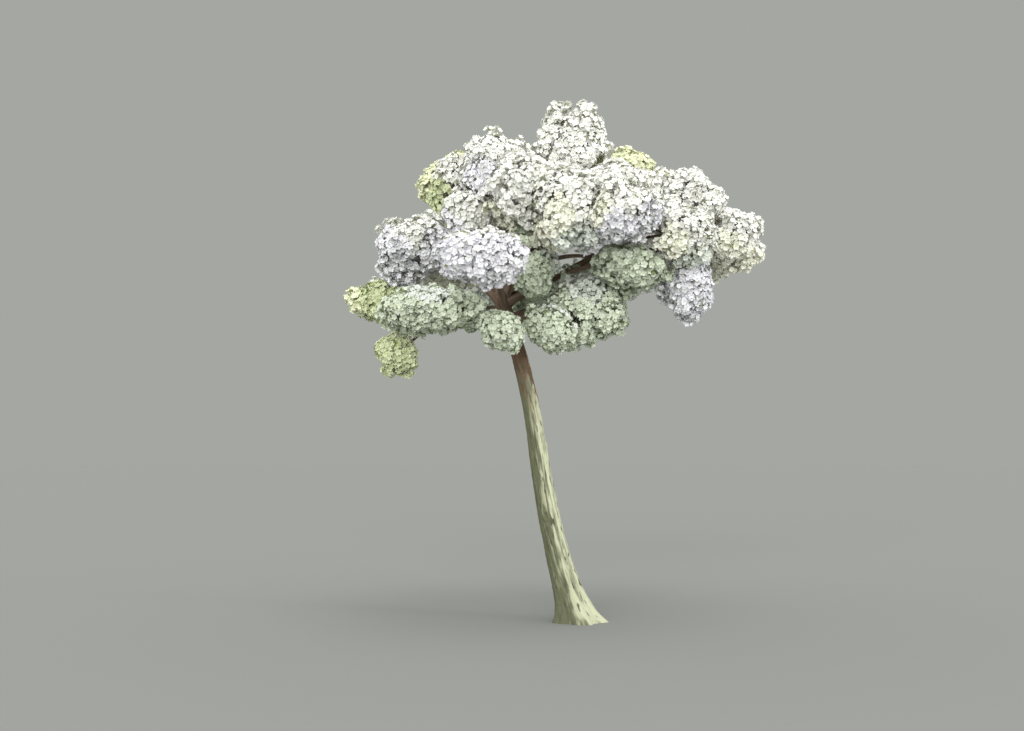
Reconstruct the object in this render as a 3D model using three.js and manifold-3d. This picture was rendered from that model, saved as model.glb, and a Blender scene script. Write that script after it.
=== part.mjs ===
// A small white cherry tree in full blossom: a slender trunk that leans and sways, with a root flare at its
// foot, boughs that spread from its top, and a wide umbrella of separate masses of blossom.
// Millimetres, +Z up, with -Y at the front. The origin is the middle of the flat cut under the trunk, at the
// ground.
import * as THREE from "three";
import { mergeVertices } from "three/addons/utils/BufferGeometryUtils.js";
import Module from "manifold-3d";

const wasm = await Module();
wasm.setup();

const UP = new THREE.Vector3(0, 0, 1);
const ROD_AXIS = new THREE.Vector3(0, 1, 0); // along which cylinders are made
const GOLDEN_ANGLE = Math.PI * (3 - Math.sqrt(5));
const SAME_PLACE = 1e-4; // vertices nearer than this are one

// The trunk, from the ground to the top of its fork.
const TRUNK = {
  height: 3230,
  lean: 0.242, // sideways run towards -X for each millimetre of height
  sway: 50, // how far the stem swings to each side of its straight leaning line
  backSway: 35, // the same swing, from front to back
  footRadius: 145,
  topRadius: 76,
  taperPower: 2,
  flareReach: 118, // how far the root flare adds to the foot radius at the ground
  flareHeight: 170, // height in which the flare falls to about a third
  toes: 5, // root toes round the flare
  toeShare: 0.3, // how much of the flare the toes add or take away
  toeTurn: 0.9,
  ringCrowding: 1.5, // above 1, the rings crowd together in the flare
  sides: 20,
  rings: 14,
};

// What all boughs share.
const BOUGH = {
  sides: 6,
  rings: 4,
  seat: 0.3, // clear gap where one limb meets another, or a stem meets its bough
  crook: 0.38, // share of a bough's level run at which its bend lies
  lift: 0.18, // how much further a bough has risen at its bend, as a share of its whole rise
  leastTip: 11, // tip radius of the slimmest bough
  tipShare: 0.14, // how much thicker a tip is for each millimetre of the bough's first radius
  taperPower: 0.8,
};

// What all masses of blossom share.
const MASS = {
  entry: 0.9, // where the bough ends and the stem begins, as a share of the way out from the heart
  coreDepth: [0.16, 0.3], // how far the corners of the dense core lie below the skin
  coreStep: 0.02, // step by which a corner is drawn in to keep to the space
  leastCore: 0.1,
  coreSeed: 500, // added to a mass's seed for its core
  coreGap: 24, // clear gap where the core is cut to a limb
  room: 0.02, // clear share between one mass's space and the next
  farthest: 1.45, // how far out a mass's space can reach in a crease between masses, where 1 is its plain skin
  crease: 1.4, // how shallow such creases are: less is shallower
  creaseStep: 0.03,
  swell: 0.98, // mean of the skin's swells and dents
  swells: 0.17, // how far they depart from it
  swellRates: [3.1, 4.3, 5.9], // how fast they follow each other round the mass
  swellSeed: 900, // added to a mass's seed for its swells
  stemTaper: 0.55,
  overlap: 6, // how far a stem starts inside a fused bough
  twigRadius: 8,
  twigTipRadius: 5,
  twigSides: 3,
  mainRoots: [0.5, 1], // where main twigs leave the stem, as shares of the way from its foot to the heart
  mainReach: 0.6, // where a main twig ends, as a share of the way out
  sprayRoots: [0.5, 0.9], // where finer twigs leave a main twig, as shares of its length
  spraysPerMain: 2.5,
  sprayArea: 190000, // skin of the mass that one spray covers, in square millimetres
  sprayShare: 0.34, // radius of a spray, as a share of the mass's mean half size
  sprayFits: [1, 0.75, 0.5], // sizes that are tried where a spray would leave its space
  sprayReach: [0.88, 1.04], // where a spray's dome ends, as a share of the way out
  spraySize: [0.88, 1.12], // how far the sprays' sizes vary
  scatter: 0.08, // radians by which a heading may stray
  tidy: 6, // edges shorter than this are drawn together
  limbRoom: 10, // clear gap between a spray or twig and a limb
};

// One spray of blossom: a posy with a domed face and a cone behind it.
const PUFF = {
  corners: 5,
  rim: [0.82, 1.12], // least and greatest radius of a corner
  crown: 0.46, // how far its face bulges out
  back: 0.8, // how far its cone reaches in
};

// Finishes.
const FINISH = {
  bark: { color: 0x9b9683, roughness: 0.85, metalness: 0 },
  young_bark: { color: 0x6e5443, roughness: 0.8, metalness: 0 },
  blossom_white: { color: 0xf1f0e8, roughness: 0.75, metalness: 0 },
  blossom_lilac: { color: 0xe9e6ee, roughness: 0.75, metalness: 0 },
  blossom_cream: { color: 0xe7ebcd, roughness: 0.75, metalness: 0 },
  blossom_shade: { color: 0xc3cec0, roughness: 0.75, metalness: 0 },
};

// The masses of blossom: heart (x, y, z), half sizes (x, y, z), finish, and the limb that carries each one.
// A bough starts from the trunk at a height, or from another bough at a share of its length. Three small masses
// close to the fork have no bough of their own: theirs is fused into them, as a long stem from the trunk.
const MASSES = {
  crown_top: {
    heart: [-30, 60, 4790], half: [390, 410, 430], finish: "blossom_white",
    bough: { on: "trunk", at: 3225, radius: 54, arch: 0.5 },
  },
  left: {
    heart: [-1650, -100, 3700], half: [400, 510, 330], finish: "blossom_lilac",
    bough: { on: "trunk", at: 3080, radius: 46, arch: 0.25 },
  },
  far_right: {
    heart: [1560, 60, 3810], half: [370, 490, 360], finish: "blossom_white",
    bough: { on: "trunk", at: 3150, radius: 52, arch: 0.14 },
  },
  back: {
    heart: [-600, 1580, 3780], half: [480, 520, 430], finish: "blossom_white",
    bough: { on: "trunk", at: 3120, radius: 46, arch: 0.22 },
  },
  front: {
    heart: [-150, -1150, 3870], half: [350, 440, 410], finish: "blossom_white",
    bough: { on: "trunk", at: 3170, radius: 44, arch: 0.2 },
  },
  front_left: {
    heart: [-910, -1420, 3350], half: [460, 500, 290], finish: "blossom_lilac",
    bough: { on: "trunk", at: 3000, radius: 42, arch: 0.3 },
  },
  back_left: {
    heart: [-1330, 950, 3830], half: [530, 560, 430], finish: "blossom_white",
    bough: { on: "trunk", at: 3040, radius: 42, arch: 0.25 },
  },
  lower_left: {
    heart: [-1440, -550, 3030], half: [500, 470, 260], finish: "blossom_shade",
    bough: { on: "trunk", at: 2860, radius: 36, arch: 0.32 },
  },
  lower_right_inner: {
    heart: [60, -150, 3080], half: [440, 440, 390], finish: "blossom_shade",
    bough: { on: "trunk", at: 2930, radius: 36, arch: 0.25 },
  },
  lower_front: {
    heart: [-750, -820, 2785], half: [240, 280, 220], finish: "blossom_shade",
    bough: { on: "trunk", at: 2810, radius: 26, arch: 0.5, fused: true },
  },
  lower_front_right: {
    heart: [-270, -430, 2835], half: [270, 310, 230], finish: "blossom_shade",
    bough: { on: "trunk", at: 2800, radius: 26, arch: 0.5, fused: true },
  },
  lower_back_right: {
    heart: [110, 980, 3180], half: [480, 480, 320], finish: "blossom_shade",
    bough: { on: "trunk", at: 2980, radius: 38, arch: 0.25 },
  },
  lower_back_left: {
    heart: [-1010, 1100, 3230], half: [470, 440, 260], finish: "blossom_shade",
    bough: { on: "trunk", at: 2900, radius: 34, arch: 0.25 },
  },
  left_tip: {
    heart: [-2050, 280, 3220], half: [370, 400, 240], finish: "blossom_cream",
    bough: { on: "trunk", at: 2950, radius: 34, arch: 0.25 },
  },
  fork_front: {
    heart: [-455, -420, 3430], half: [235, 280, 320], finish: "blossom_shade",
    bough: { on: "trunk", at: 3160, radius: 26, arch: 0.2, fused: true },
  },
  left_hollow: {
    heart: [-1115, -230, 4000], half: [280, 320, 260], finish: "blossom_white",
    bough: { on: "left", at: 0.42, radius: 24, arch: 0.2 },
  },
  upper_left: {
    heart: [-870, -200, 4470], half: [355, 440, 400], finish: "blossom_lilac",
    bough: { on: "crown_top", at: 0.2, radius: 36, arch: 0.4 },
  },
  upper_front: {
    heart: [-470, -680, 4120], half: [430, 470, 390], finish: "blossom_white",
    bough: { on: "front", at: 0.25, radius: 32, arch: 0.3 },
  },
  upper_front_right: {
    heart: [370, -440, 4180], half: [400, 400, 350], finish: "blossom_white",
    bough: { on: "crown_top", at: 0.25, radius: 30, arch: 0.1 },
  },
  left_shoulder: {
    heart: [-1280, 270, 4420], half: [350, 440, 330], finish: "blossom_cream",
    bough: { on: "left", at: 0.32, radius: 30, arch: 0.5 },
  },
  front_right: {
    heart: [340, -1330, 3800], half: [330, 430, 300], finish: "blossom_lilac",
    bough: { on: "front", at: 0.42, radius: 32, arch: 0.2 },
  },
  top_right: {
    heart: [530, 150, 4550], half: [260, 390, 230], finish: "blossom_cream",
    bough: { on: "crown_top", at: 0.42, radius: 28, arch: 0.3 },
  },
  upper_right: {
    heart: [1070, 0, 4200], half: [390, 470, 370], finish: "blossom_white",
    bough: { on: "far_right", at: 0.42, radius: 32, arch: 0.4 },
  },
  right_front: {
    heart: [870, -930, 3690], half: [370, 430, 280], finish: "blossom_white",
    bough: { on: "far_right", at: 0.3, radius: 32, arch: 0.2 },
  },
  right_drop: {
    heart: [1050, -400, 3270], half: [265, 390, 370], finish: "blossom_lilac",
    bough: { on: "far_right", at: 0.55, radius: 28, arch: 0.1 },
  },
  lower_right_outer: {
    heart: [480, -750, 3440], half: [380, 400, 250], finish: "blossom_shade",
    bough: { on: "far_right", at: 0.2, radius: 30, arch: 0.2 },
  },
  back_right: {
    heart: [660, 1430, 3830], half: [510, 520, 420], finish: "blossom_white",
    bough: { on: "back", at: 0.35, radius: 34, arch: 0.3 },
  },
  upper_back_left: {
    heart: [-700, 710, 4340], half: [480, 480, 400], finish: "blossom_white",
    bough: { on: "back", at: 0.25, radius: 32, arch: 0.5 },
  },
  upper_back_right: {
    heart: [300, 840, 4380], half: [480, 460, 390], finish: "blossom_white",
    bough: { on: "crown_top", at: 0.3, radius: 32, arch: 0.3 },
  },
  right_back: {
    heart: [1330, 860, 3790], half: [430, 450, 340], finish: "blossom_white",
    bough: { on: "far_right", at: 0.5, radius: 30, arch: 0.2 },
  },
  left_pendant: {
    heart: [-1810, -100, 2640], half: [250, 270, 250], finish: "blossom_cream",
    bough: { on: "left_tip", at: 0.6, radius: 18, arch: 0.15 },
  },
};

// A stream of numbers from 0 to 1 that is the same each time for the same seed.
function seeded(seed) {
  const PRIME = 2147483647;
  const FACTOR = 16807;
  let state = (seed * 7919 + 12345) % PRIME;
  const draw = () => {
    state = (state * FACTOR) % PRIME;
    return state / PRIME;
  };
  for (let warm = 0; warm < 3; warm += 1) draw();
  return draw;
}

// Solids and meshes

// A closed geometry as a solid that can be cut and joined.
function solidOf(geometry) {
  const bare = geometry.clone();
  bare.deleteAttribute("normal");
  bare.deleteAttribute("uv");
  const merged = mergeVertices(bare, SAME_PLACE);
  return new wasm.Manifold(
    new wasm.Mesh({
      numProp: 3,
      vertProperties: new Float32Array(merged.attributes.position.array),
      triVerts: new Uint32Array(merged.index.array),
    }),
  );
}

// The largest outer body of a solid: loose scraps are dropped and sealed hollows filled.
function largestBody(solid) {
  return solid.decompose().reduce((best, body) => (body.volume() > best.volume() ? body : best));
}

// A solid as a named mesh with its finish.
function meshOf(name, solid, finish) {
  const { vertProperties, triVerts, numProp } = solid.getMesh();
  const positions = new Float32Array((vertProperties.length / numProp) * 3);
  for (let v = 0; v < positions.length / 3; v += 1) {
    positions.set(vertProperties.subarray(v * numProp, v * numProp + 3), v * 3);
  }
  const geometry = new THREE.BufferGeometry();
  geometry.setAttribute("position", new THREE.BufferAttribute(positions, 3));
  geometry.setIndex(new THREE.BufferAttribute(triVerts, 1));
  geometry.computeVertexNormals();
  const material = new THREE.MeshStandardMaterial({ ...FINISH[finish], flatShading: true });
  const mesh = new THREE.Mesh(geometry, material);
  mesh.name = name;
  return mesh;
}

// Moves each vertex of a geometry by a function of its place.
function reshape(geometry, move) {
  const position = geometry.attributes.position;
  const place = new THREE.Vector3();
  for (let v = 0; v < position.count; v += 1) {
    place.fromBufferAttribute(position, v);
    move(place);
    position.setXYZ(v, place.x, place.y, place.z);
  }
  return geometry;
}

// Trunk

// Middle of the trunk at a height.
function trunkMiddle(height) {
  const share = height / TRUNK.height;
  return new THREE.Vector3(
    -TRUNK.lean * height - TRUNK.sway * Math.sin(2 * Math.PI * share),
    -TRUNK.backSway * Math.sin(Math.PI * share),
    height,
  );
}

// Radius of the trunk at a height, without its root toes.
function trunkRadius(height) {
  const share = height / TRUNK.height;
  const taper = (TRUNK.footRadius - TRUNK.topRadius) * (1 - share) ** TRUNK.taperPower;
  return TRUNK.topRadius + taper + TRUNK.flareReach * Math.exp(-height / TRUNK.flareHeight);
}

// The trunk as a solid, grown all round by a clearance where other limbs are cut to it.
function trunkSolid(grow) {
  const stem = new THREE.CylinderGeometry(1, 1, 1, TRUNK.sides, TRUNK.rings).rotateX(Math.PI / 2);
  reshape(stem, (place) => {
    const share = place.z + 0.5;
    const height = TRUNK.height * share ** TRUNK.ringCrowding;
    const angle = Math.atan2(place.y, place.x);
    const toe = TRUNK.toeShare * TRUNK.flareReach * Math.exp(-height / TRUNK.flareHeight);
    const radius = trunkRadius(height) + toe * Math.cos(TRUNK.toes * angle + TRUNK.toeTurn) + grow;
    place.multiplyScalar(radius).setZ(share === 1 ? grow : 0).add(trunkMiddle(height));
  });
  return solidOf(stem);
}

// Boughs

// Where a limb's middle line lies: on the trunk at a height, or on a bough at a share of its length.
function pointOn(limb, at, routes) {
  return limb === "trunk" ? trunkMiddle(at) : routes[limb].path.getPoint(at);
}

// How far out a point lies in a mass: 0 at its heart and 1 on its skin.
function depthIn(mass, point) {
  return Math.hypot(...["x", "y", "z"].map((axis, i) => (point[axis] - mass.heart[i]) / mass.half[i]));
}

// A bough's middle line, with the mass's stem straight on from its tip to the heart.
function boughRoute(mass, routes) {
  const { on, at, radius, arch } = mass.bough;
  const start = pointOn(on, at, routes);
  const heart = new THREE.Vector3(...mass.heart);
  const run = new THREE.Vector3().subVectors(heart, start).setZ(0);
  const rise = heart.z - start.z;
  const bend = start.clone().addScaledVector(run, BOUGH.crook);
  bend.z += rise * (BOUGH.crook + BOUGH.lift) + arch * run.length() * BOUGH.crook;
  const inward = new THREE.Vector3().subVectors(bend, heart);
  const entry = heart.clone().addScaledVector(inward, MASS.entry / depthIn(mass, bend));
  const path = new THREE.QuadraticBezierCurve3(start, bend, entry);
  const tipRadius = BOUGH.leastTip + BOUGH.tipShare * radius;
  return { path, entry, heading: inward.normalize().negate(), radius, tipRadius };
}

// Radius of a bough at a share of its length.
function boughRadius(route, share) {
  return route.tipRadius + (route.radius - route.tipRadius) * (1 - share) ** BOUGH.taperPower;
}

// A tapering round limb along a bough's middle line, grown all round by a clearance.
function boughSolid(route, grow) {
  const limb = new THREE.CylinderGeometry(1, 1, 1, BOUGH.sides, BOUGH.rings).rotateX(Math.PI / 2);
  const frames = route.path.computeFrenetFrames(BOUGH.rings, false);
  reshape(limb, (place) => {
    const ring = Math.round((place.z + 0.5) * BOUGH.rings);
    const radius = boughRadius(route, ring / BOUGH.rings) + grow;
    const side = frames.normals[ring].clone().multiplyScalar(place.x * radius);
    const across = frames.binormals[ring].clone().multiplyScalar(place.y * radius);
    place.copy(route.path.getPointAt(ring / BOUGH.rings)).add(side).add(across);
    if (ring === BOUGH.rings) place.addScaledVector(route.heading, grow);
  });
  return solidOf(limb);
}

// Masses of blossom

// True where a point is in a mass's own space, clear of every other mass.
function inSpace(mass, point) {
  const depth = depthIn(mass, point);
  const others = Object.values(MASSES).filter((other) => other !== mass);
  return depth < MASS.farthest && others.every((other) => depthIn(other, point) > depth + MASS.room);
}

// A number drawn at random between two limits.
function drawnFrom([least, greatest], random) {
  return least + (greatest - least) * random();
}

// The k-th of n headings spread evenly all round.
function spiralHeading(k, n) {
  const z = 1 - (2 * k + 1) / n;
  const level = Math.sqrt(1 - z * z);
  return new THREE.Vector3(level * Math.cos(GOLDEN_ANGLE * k), level * Math.sin(GOLDEN_ANGLE * k), z);
}

// A heading that strays a little, to a side drawn at random.
function strayed(heading, random) {
  const angle = MASS.scatter * random();
  const way = 2 * Math.PI * random();
  const reference = Math.abs(heading.z) > 0.9 ? new THREE.Vector3(1, 0, 0) : UP;
  const across = new THREE.Vector3().crossVectors(heading, reference).normalize();
  return heading.clone().applyAxisAngle(across.applyAxisAngle(heading, way), angle);
}

// The swells and dents of a mass's skin: waves that run along headings drawn at random.
function swellsOf(seed) {
  const random = seeded(seed + MASS.swellSeed);
  return MASS.swellRates.map((rate) => {
    const z = 2 * random() - 1;
    const turn = 2 * Math.PI * random();
    const level = Math.sqrt(1 - z * z);
    const axis = new THREE.Vector3(level * Math.cos(turn), level * Math.sin(turn), z);
    return { axis, rate, phase: 2 * Math.PI * random() };
  });
}

// How far out the skin of a mass lies along a heading, where 1 is its plain skin. Its swells set it first. In a
// crease it then goes on until the masses around it no longer fill the place together.
function skinShare(mass, heading) {
  const waves = mass.swells.map(({ axis, rate, phase }) => Math.sin(rate * axis.dot(heading) + phase));
  const plain = MASS.swell + (MASS.swells * waves.reduce((sum, wave) => sum + wave)) / waves.length;
  const filling = (depth) => Math.exp(MASS.crease * (1 - depth * depth));
  const others = Object.values(MASSES).filter((other) => other !== mass);
  const filled = (share) => {
    const point = plainPoint(mass, heading, share);
    const around = others.map((other) => depthIn(other, point));
    const clear = Math.min(...around) > share + MASS.room;
    return clear && around.reduce((sum, depth) => sum + filling(depth), filling(share / plain)) > 1;
  };
  let share = plain;
  while (share + MASS.creaseStep < MASS.farthest && filled(share + MASS.creaseStep)) share += MASS.creaseStep;
  return share;
}

// The point at a share of the way from a mass's heart to its plain skin, along a heading.
function plainPoint(mass, heading, share) {
  const half = new THREE.Vector3(...mass.half).multiplyScalar(share);
  return new THREE.Vector3(...mass.heart).add(half.multiply(heading));
}

// The point of a mass at a share of the way out from its heart to its skin, along a heading.
function pointOut(mass, heading, share) {
  return plainPoint(mass, heading, share * skinShare(mass, heading));
}

// Area of a mass's skin, by the usual mean of its half sizes in pairs.
function skinArea(mass) {
  const POWER = 1.6;
  const [a, b, c] = mass.half;
  const mean = ((a * b) ** POWER + (a * c) ** POWER + (b * c) ** POWER) / 3;
  return 4 * Math.PI * mean ** (1 / POWER);
}

// How a mass branches: a stem to its heart, main twigs from the stem to all sides, and on the nearest main
// twig a finer twig for each spray, which faces outward. A main twig that isn't clear is skipped.
function growMass(mass, route, clear, seed) {
  const random = seeded(seed);
  const heart = new THREE.Vector3(...mass.heart);
  const meanHalf = Math.cbrt(mass.half[0] * mass.half[1] * mass.half[2]);
  const sprayCount = Math.round(skinArea(mass) / MASS.sprayArea);
  const mainCount = Math.round(sprayCount / MASS.spraysPerMain);
  const allMains = Array.from({ length: mainCount }, (_, k) => {
    const heading = strayed(spiralHeading(k, mainCount), random);
    const root = new THREE.Vector3().lerpVectors(route.entry, heart, drawnFrom(MASS.mainRoots, random));
    return { heading, root, tip: pointOut(mass, heading, MASS.mainReach) };
  });
  const mains = allMains.filter((main) => clear(twigGeometry(main.root, main.tip)));
  const sprays = Array.from({ length: sprayCount }, (_, k) => {
    const heading = strayed(spiralHeading(k, sprayCount), random);
    const nearness = mains.map((main) => main.heading.dot(heading));
    const main = mains[nearness.indexOf(Math.max(...nearness))];
    const root = new THREE.Vector3().lerpVectors(main.root, main.tip, drawnFrom(MASS.sprayRoots, random));
    const outward = pointOut(mass, heading, 1).sub(heart);
    const reach = outward.length() * drawnFrom(MASS.sprayReach, random);
    const radius = MASS.sprayShare * meanHalf * drawnFrom(MASS.spraySize, random);
    const turn = 2 * Math.PI * random();
    const rims = Array.from({ length: PUFF.corners }, () => drawnFrom(PUFF.rim, random));
    return { root, outward: outward.normalize(), reach, radius, turn, rims };
  });
  return { mains, sprays };
}

// A straight tapering rod between two points.
function rodGeometry(root, tip, rootRadius, tipRadius, sides) {
  const along = new THREE.Vector3().subVectors(tip, root);
  const rod = new THREE.CylinderGeometry(tipRadius, rootRadius, along.length(), sides, 1);
  rod.applyQuaternion(new THREE.Quaternion().setFromUnitVectors(ROD_AXIS, along.normalize()));
  const middle = new THREE.Vector3().addVectors(root, tip).multiplyScalar(0.5);
  return rod.translate(middle.x, middle.y, middle.z);
}

// A slim twig between two points.
function twigGeometry(root, tip) {
  return rodGeometry(root, tip, MASS.twigRadius, MASS.twigTipRadius, MASS.twigSides);
}

// A spray's posy around the middle of its rim.
function puffGeometry(spray, radius, middle) {
  const puff = new THREE.SphereGeometry(1, PUFF.corners, 2);
  reshape(puff, (place) => {
    const level = Math.hypot(place.x, place.z);
    const corner = Math.round(((Math.atan2(place.z, place.x) + Math.PI) * PUFF.corners) / (2 * Math.PI));
    const rim = level > 0.5 ? spray.rims[corner % PUFF.corners] : 0;
    const bulge = level > 0.5 ? 0 : place.y > 0 ? PUFF.crown : -PUFF.back;
    place.set(place.x * rim, bulge, place.z * rim);
  });
  const facing = new THREE.Quaternion().setFromUnitVectors(ROD_AXIS, spray.outward);
  return puff
    .rotateY(spray.turn)
    .scale(radius, radius, radius)
    .applyQuaternion(facing)
    .translate(middle.x, middle.y, middle.z);
}

// The corners of a geometry and the middles of its faces.
function markersOf(geometry) {
  const loose = geometry.toNonIndexed().attributes.position;
  const cornerAt = (_, v) => new THREE.Vector3().fromBufferAttribute(loose, v);
  const corners = Array.from({ length: loose.count }, cornerAt);
  const middles = [];
  for (let face = 0; face < corners.length; face += 3) {
    middles.push(corners[face].clone().add(corners[face + 1]).add(corners[face + 2]).divideScalar(3));
  }
  return [...corners, ...middles];
}

// A spray and its twig, at the largest size that is clear.
function sprayGeometries(mass, spray, clear) {
  for (const fit of MASS.sprayFits) {
    const radius = spray.radius * fit;
    const out = spray.reach - PUFF.crown * radius;
    const middle = new THREE.Vector3(...mass.heart).addScaledVector(spray.outward, out);
    const pieces = [puffGeometry(spray, radius, middle), twigGeometry(spray.root, middle)];
    if (pieces.every(clear)) return pieces;
  }
  return [];
}

// The dense middle of a mass, drawn in where it would leave its space.
function coreGeometry(mass, seed) {
  const random = seeded(seed + MASS.coreSeed);
  const core = new THREE.IcosahedronGeometry(1, 1).deleteAttribute("normal").deleteAttribute("uv");
  return reshape(mergeVertices(core), (place) => {
    const heading = place.clone().normalize();
    let share = skinShare(mass, heading) - drawnFrom(MASS.coreDepth, random);
    const leaves = () => !inSpace(mass, plainPoint(mass, heading, share + MASS.room));
    while (share > MASS.leastCore && leaves()) share -= MASS.coreStep;
    place.copy(plainPoint(mass, heading, share));
  });
}

// The stem of a mass, from just past its bough's tip to the mass's heart. With a fused bough it starts inside
// the tip.
function stemGeometry(mass, route) {
  const start = mass.bough.fused ? -MASS.overlap : BOUGH.seat;
  const foot = route.entry.clone().addScaledVector(route.heading, start);
  const tipRadius = route.tipRadius * MASS.stemTaper;
  return rodGeometry(foot, new THREE.Vector3(...mass.heart), route.tipRadius, tipRadius, BOUGH.sides);
}

// A mass as one solid: core, stem, twigs and sprays fused together, the core cut clear of all limbs.
function massSolid(mass, route, limbs, wideLimbs, seed) {
  const clear = (geometry) => {
    const inside = markersOf(geometry).every((point) => inSpace(mass, point));
    return inside && solidOf(geometry).minGap(limbs, MASS.limbRoom) >= MASS.limbRoom;
  };
  const { mains, sprays } = growMass(mass, route, clear, seed);
  const pieces = [
    ...mains.map((main) => twigGeometry(main.root, main.tip)),
    ...sprays.flatMap((spray) => sprayGeometries(mass, spray, clear)),
  ];
  const core = solidOf(coreGeometry(mass, seed)).subtract(wideLimbs);
  const grown = wasm.Manifold.union([core, ...pieces.map(solidOf)]).simplify(MASS.tidy);
  const bough = mass.bough.fused ? [route.solid] : [];
  return largestBody(wasm.Manifold.union([grown, ...bough, solidOf(stemGeometry(mass, route))]));
}

// Assembly

const routes = {};
for (const [name, mass] of Object.entries(MASSES)) routes[name] = boughRoute(mass, routes);

const tree = new THREE.Group();
tree.add(meshOf("trunk", trunkSolid(0), "bark"));

// Each bough is cut clear of the trunk and of every bough made before it.
const standing = [trunkSolid(BOUGH.seat)];
for (const [name, route] of Object.entries(routes)) {
  const cut = standing.reduce((left, other) => left.subtract(other), boughSolid(route, 0));
  route.solid = largestBody(cut);
  if (!MASSES[name].bough.fused) tree.add(meshOf(`bough_${name}`, route.solid, "young_bark"));
  standing.push(boughSolid(route, BOUGH.seat));
}

// The trunk and the boughs that a mass keeps clear of as one solid, grown all round. Its own fused bough isn't
// one of them.
function limbsSolid(grow, mass, own) {
  const others = Object.values(routes).filter((route) => route !== own || !mass.bough.fused);
  return wasm.Manifold.union([trunkSolid(grow), ...others.map((route) => boughSolid(route, grow))]);
}

Object.entries(MASSES).forEach(([name, mass], i) => {
  mass.swells = swellsOf(i + 1);
  const route = routes[name];
  const limbs = limbsSolid(0, mass, route);
  const solid = massSolid(mass, route, limbs, limbsSolid(MASS.coreGap, mass, route), i + 1);
  tree.add(meshOf(`blossom_${name}`, solid, mass.finish));
});

export default tree;
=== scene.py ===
"""A small white cherry tree in full blossom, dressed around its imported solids.

The trunk and boughs get meshes with the relief of the bark. Each mass of blossom is grown again by the rule
of the solids, from stem to main twigs to spray twigs, and then carried on to branchlets, spurs and single
flowers.
"""

import logging
import math
import sys
from dataclasses import dataclass, field
from enum import Enum

import bmesh
import bpy
import numpy as np
from mathutils import Matrix, Vector, noise

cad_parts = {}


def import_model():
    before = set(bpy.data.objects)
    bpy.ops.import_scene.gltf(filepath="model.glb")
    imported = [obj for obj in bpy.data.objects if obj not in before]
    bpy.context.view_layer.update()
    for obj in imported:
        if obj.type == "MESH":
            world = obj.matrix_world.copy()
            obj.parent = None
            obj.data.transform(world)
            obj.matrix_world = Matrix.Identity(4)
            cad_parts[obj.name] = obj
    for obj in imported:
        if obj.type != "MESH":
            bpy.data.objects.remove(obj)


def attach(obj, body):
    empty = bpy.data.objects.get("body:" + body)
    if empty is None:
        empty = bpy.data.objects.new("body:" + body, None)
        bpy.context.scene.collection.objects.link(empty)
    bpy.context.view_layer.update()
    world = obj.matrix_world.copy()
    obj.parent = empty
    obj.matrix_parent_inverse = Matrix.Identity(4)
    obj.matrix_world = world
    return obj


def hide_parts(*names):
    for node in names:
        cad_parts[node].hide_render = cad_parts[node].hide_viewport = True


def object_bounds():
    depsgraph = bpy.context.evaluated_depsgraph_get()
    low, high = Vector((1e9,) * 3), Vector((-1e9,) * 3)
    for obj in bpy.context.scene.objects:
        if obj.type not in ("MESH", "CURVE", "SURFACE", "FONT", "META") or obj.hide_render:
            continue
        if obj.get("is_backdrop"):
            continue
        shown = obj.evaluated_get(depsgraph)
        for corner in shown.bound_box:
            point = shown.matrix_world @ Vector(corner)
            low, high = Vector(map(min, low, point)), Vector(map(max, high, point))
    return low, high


LOG = logging.getLogger("cherry")
# The body of the imported model that every piece rides on
BODY = "root"
# The table of the masses is in millimetres, as in the source of the solids
MM = 0.001
GOLDEN_ANGLE = math.pi * (3 - math.sqrt(5))
UP = np.array((0.0, 0.0, 1.0))
SIDEWAYS = (1.0, 0.0, 0.0)
# Upward share of a heading above which SIDEWAYS is its reference instead of UP
STEEP = 0.9
# Attribute of each place on the straightened limb, and the radius that the trunk and a bough have there
GRAIN = "grain"
GIRTH = 0.1
BOUGH_GIRTH = 0.05
# How far blossom may stand out of the solids' box
ROOM = 0.02
Colour = tuple[float, float, float]
Socket = bpy.types.NodeSocket


class Tone(Enum):
    """Overall tone of a mass of blossom, which names its slot in the record."""

    WHITE = "blossom_white"
    LILAC = "blossom_lilac"
    CREAM = "blossom_cream"
    # Masses of this tone get grey-green petals: painted shade for the lower side of the crown.
    SHADE = "blossom_shade"


class Part(Enum):
    """The parts of one flower, in the order of their faces' numbers."""

    PETAL = 0
    EYE = 1
    STALK = 2


# Finishes


@dataclass(frozen=True)
class PlainFinish:
    """A finish of one colour, for things that are repeated thousands of times.

    Attributes:
        name: Name of the material.
        colour: Base colour, linear.
        roughness: Roughness of the surface.
        sheen: Weight of the soft sheen at its edges.
        gloss: Level of the mirrored light, 0.5 for most things that aren't metal.
    """

    name: str
    colour: Colour
    roughness: float = 0.6
    sheen: float = 0.0
    gloss: float = 0.5

    def material(self) -> bpy.types.Material:
        """Returns the material, made the first time that it is asked for."""
        if self.name in bpy.data.materials:
            return bpy.data.materials[self.name]
        made = bpy.data.materials.new(self.name)
        made.use_nodes = True
        shader = made.node_tree.nodes["Principled BSDF"]
        shader.inputs["Base Color"].default_value = (*self.colour, 1.0)
        shader.inputs["Roughness"].default_value = self.roughness
        shader.inputs["Sheen Weight"].default_value = self.sheen
        shader.inputs["Specular IOR Level"].default_value = self.gloss
        made.diffuse_color = (*self.colour, 1.0)
        return made


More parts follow.
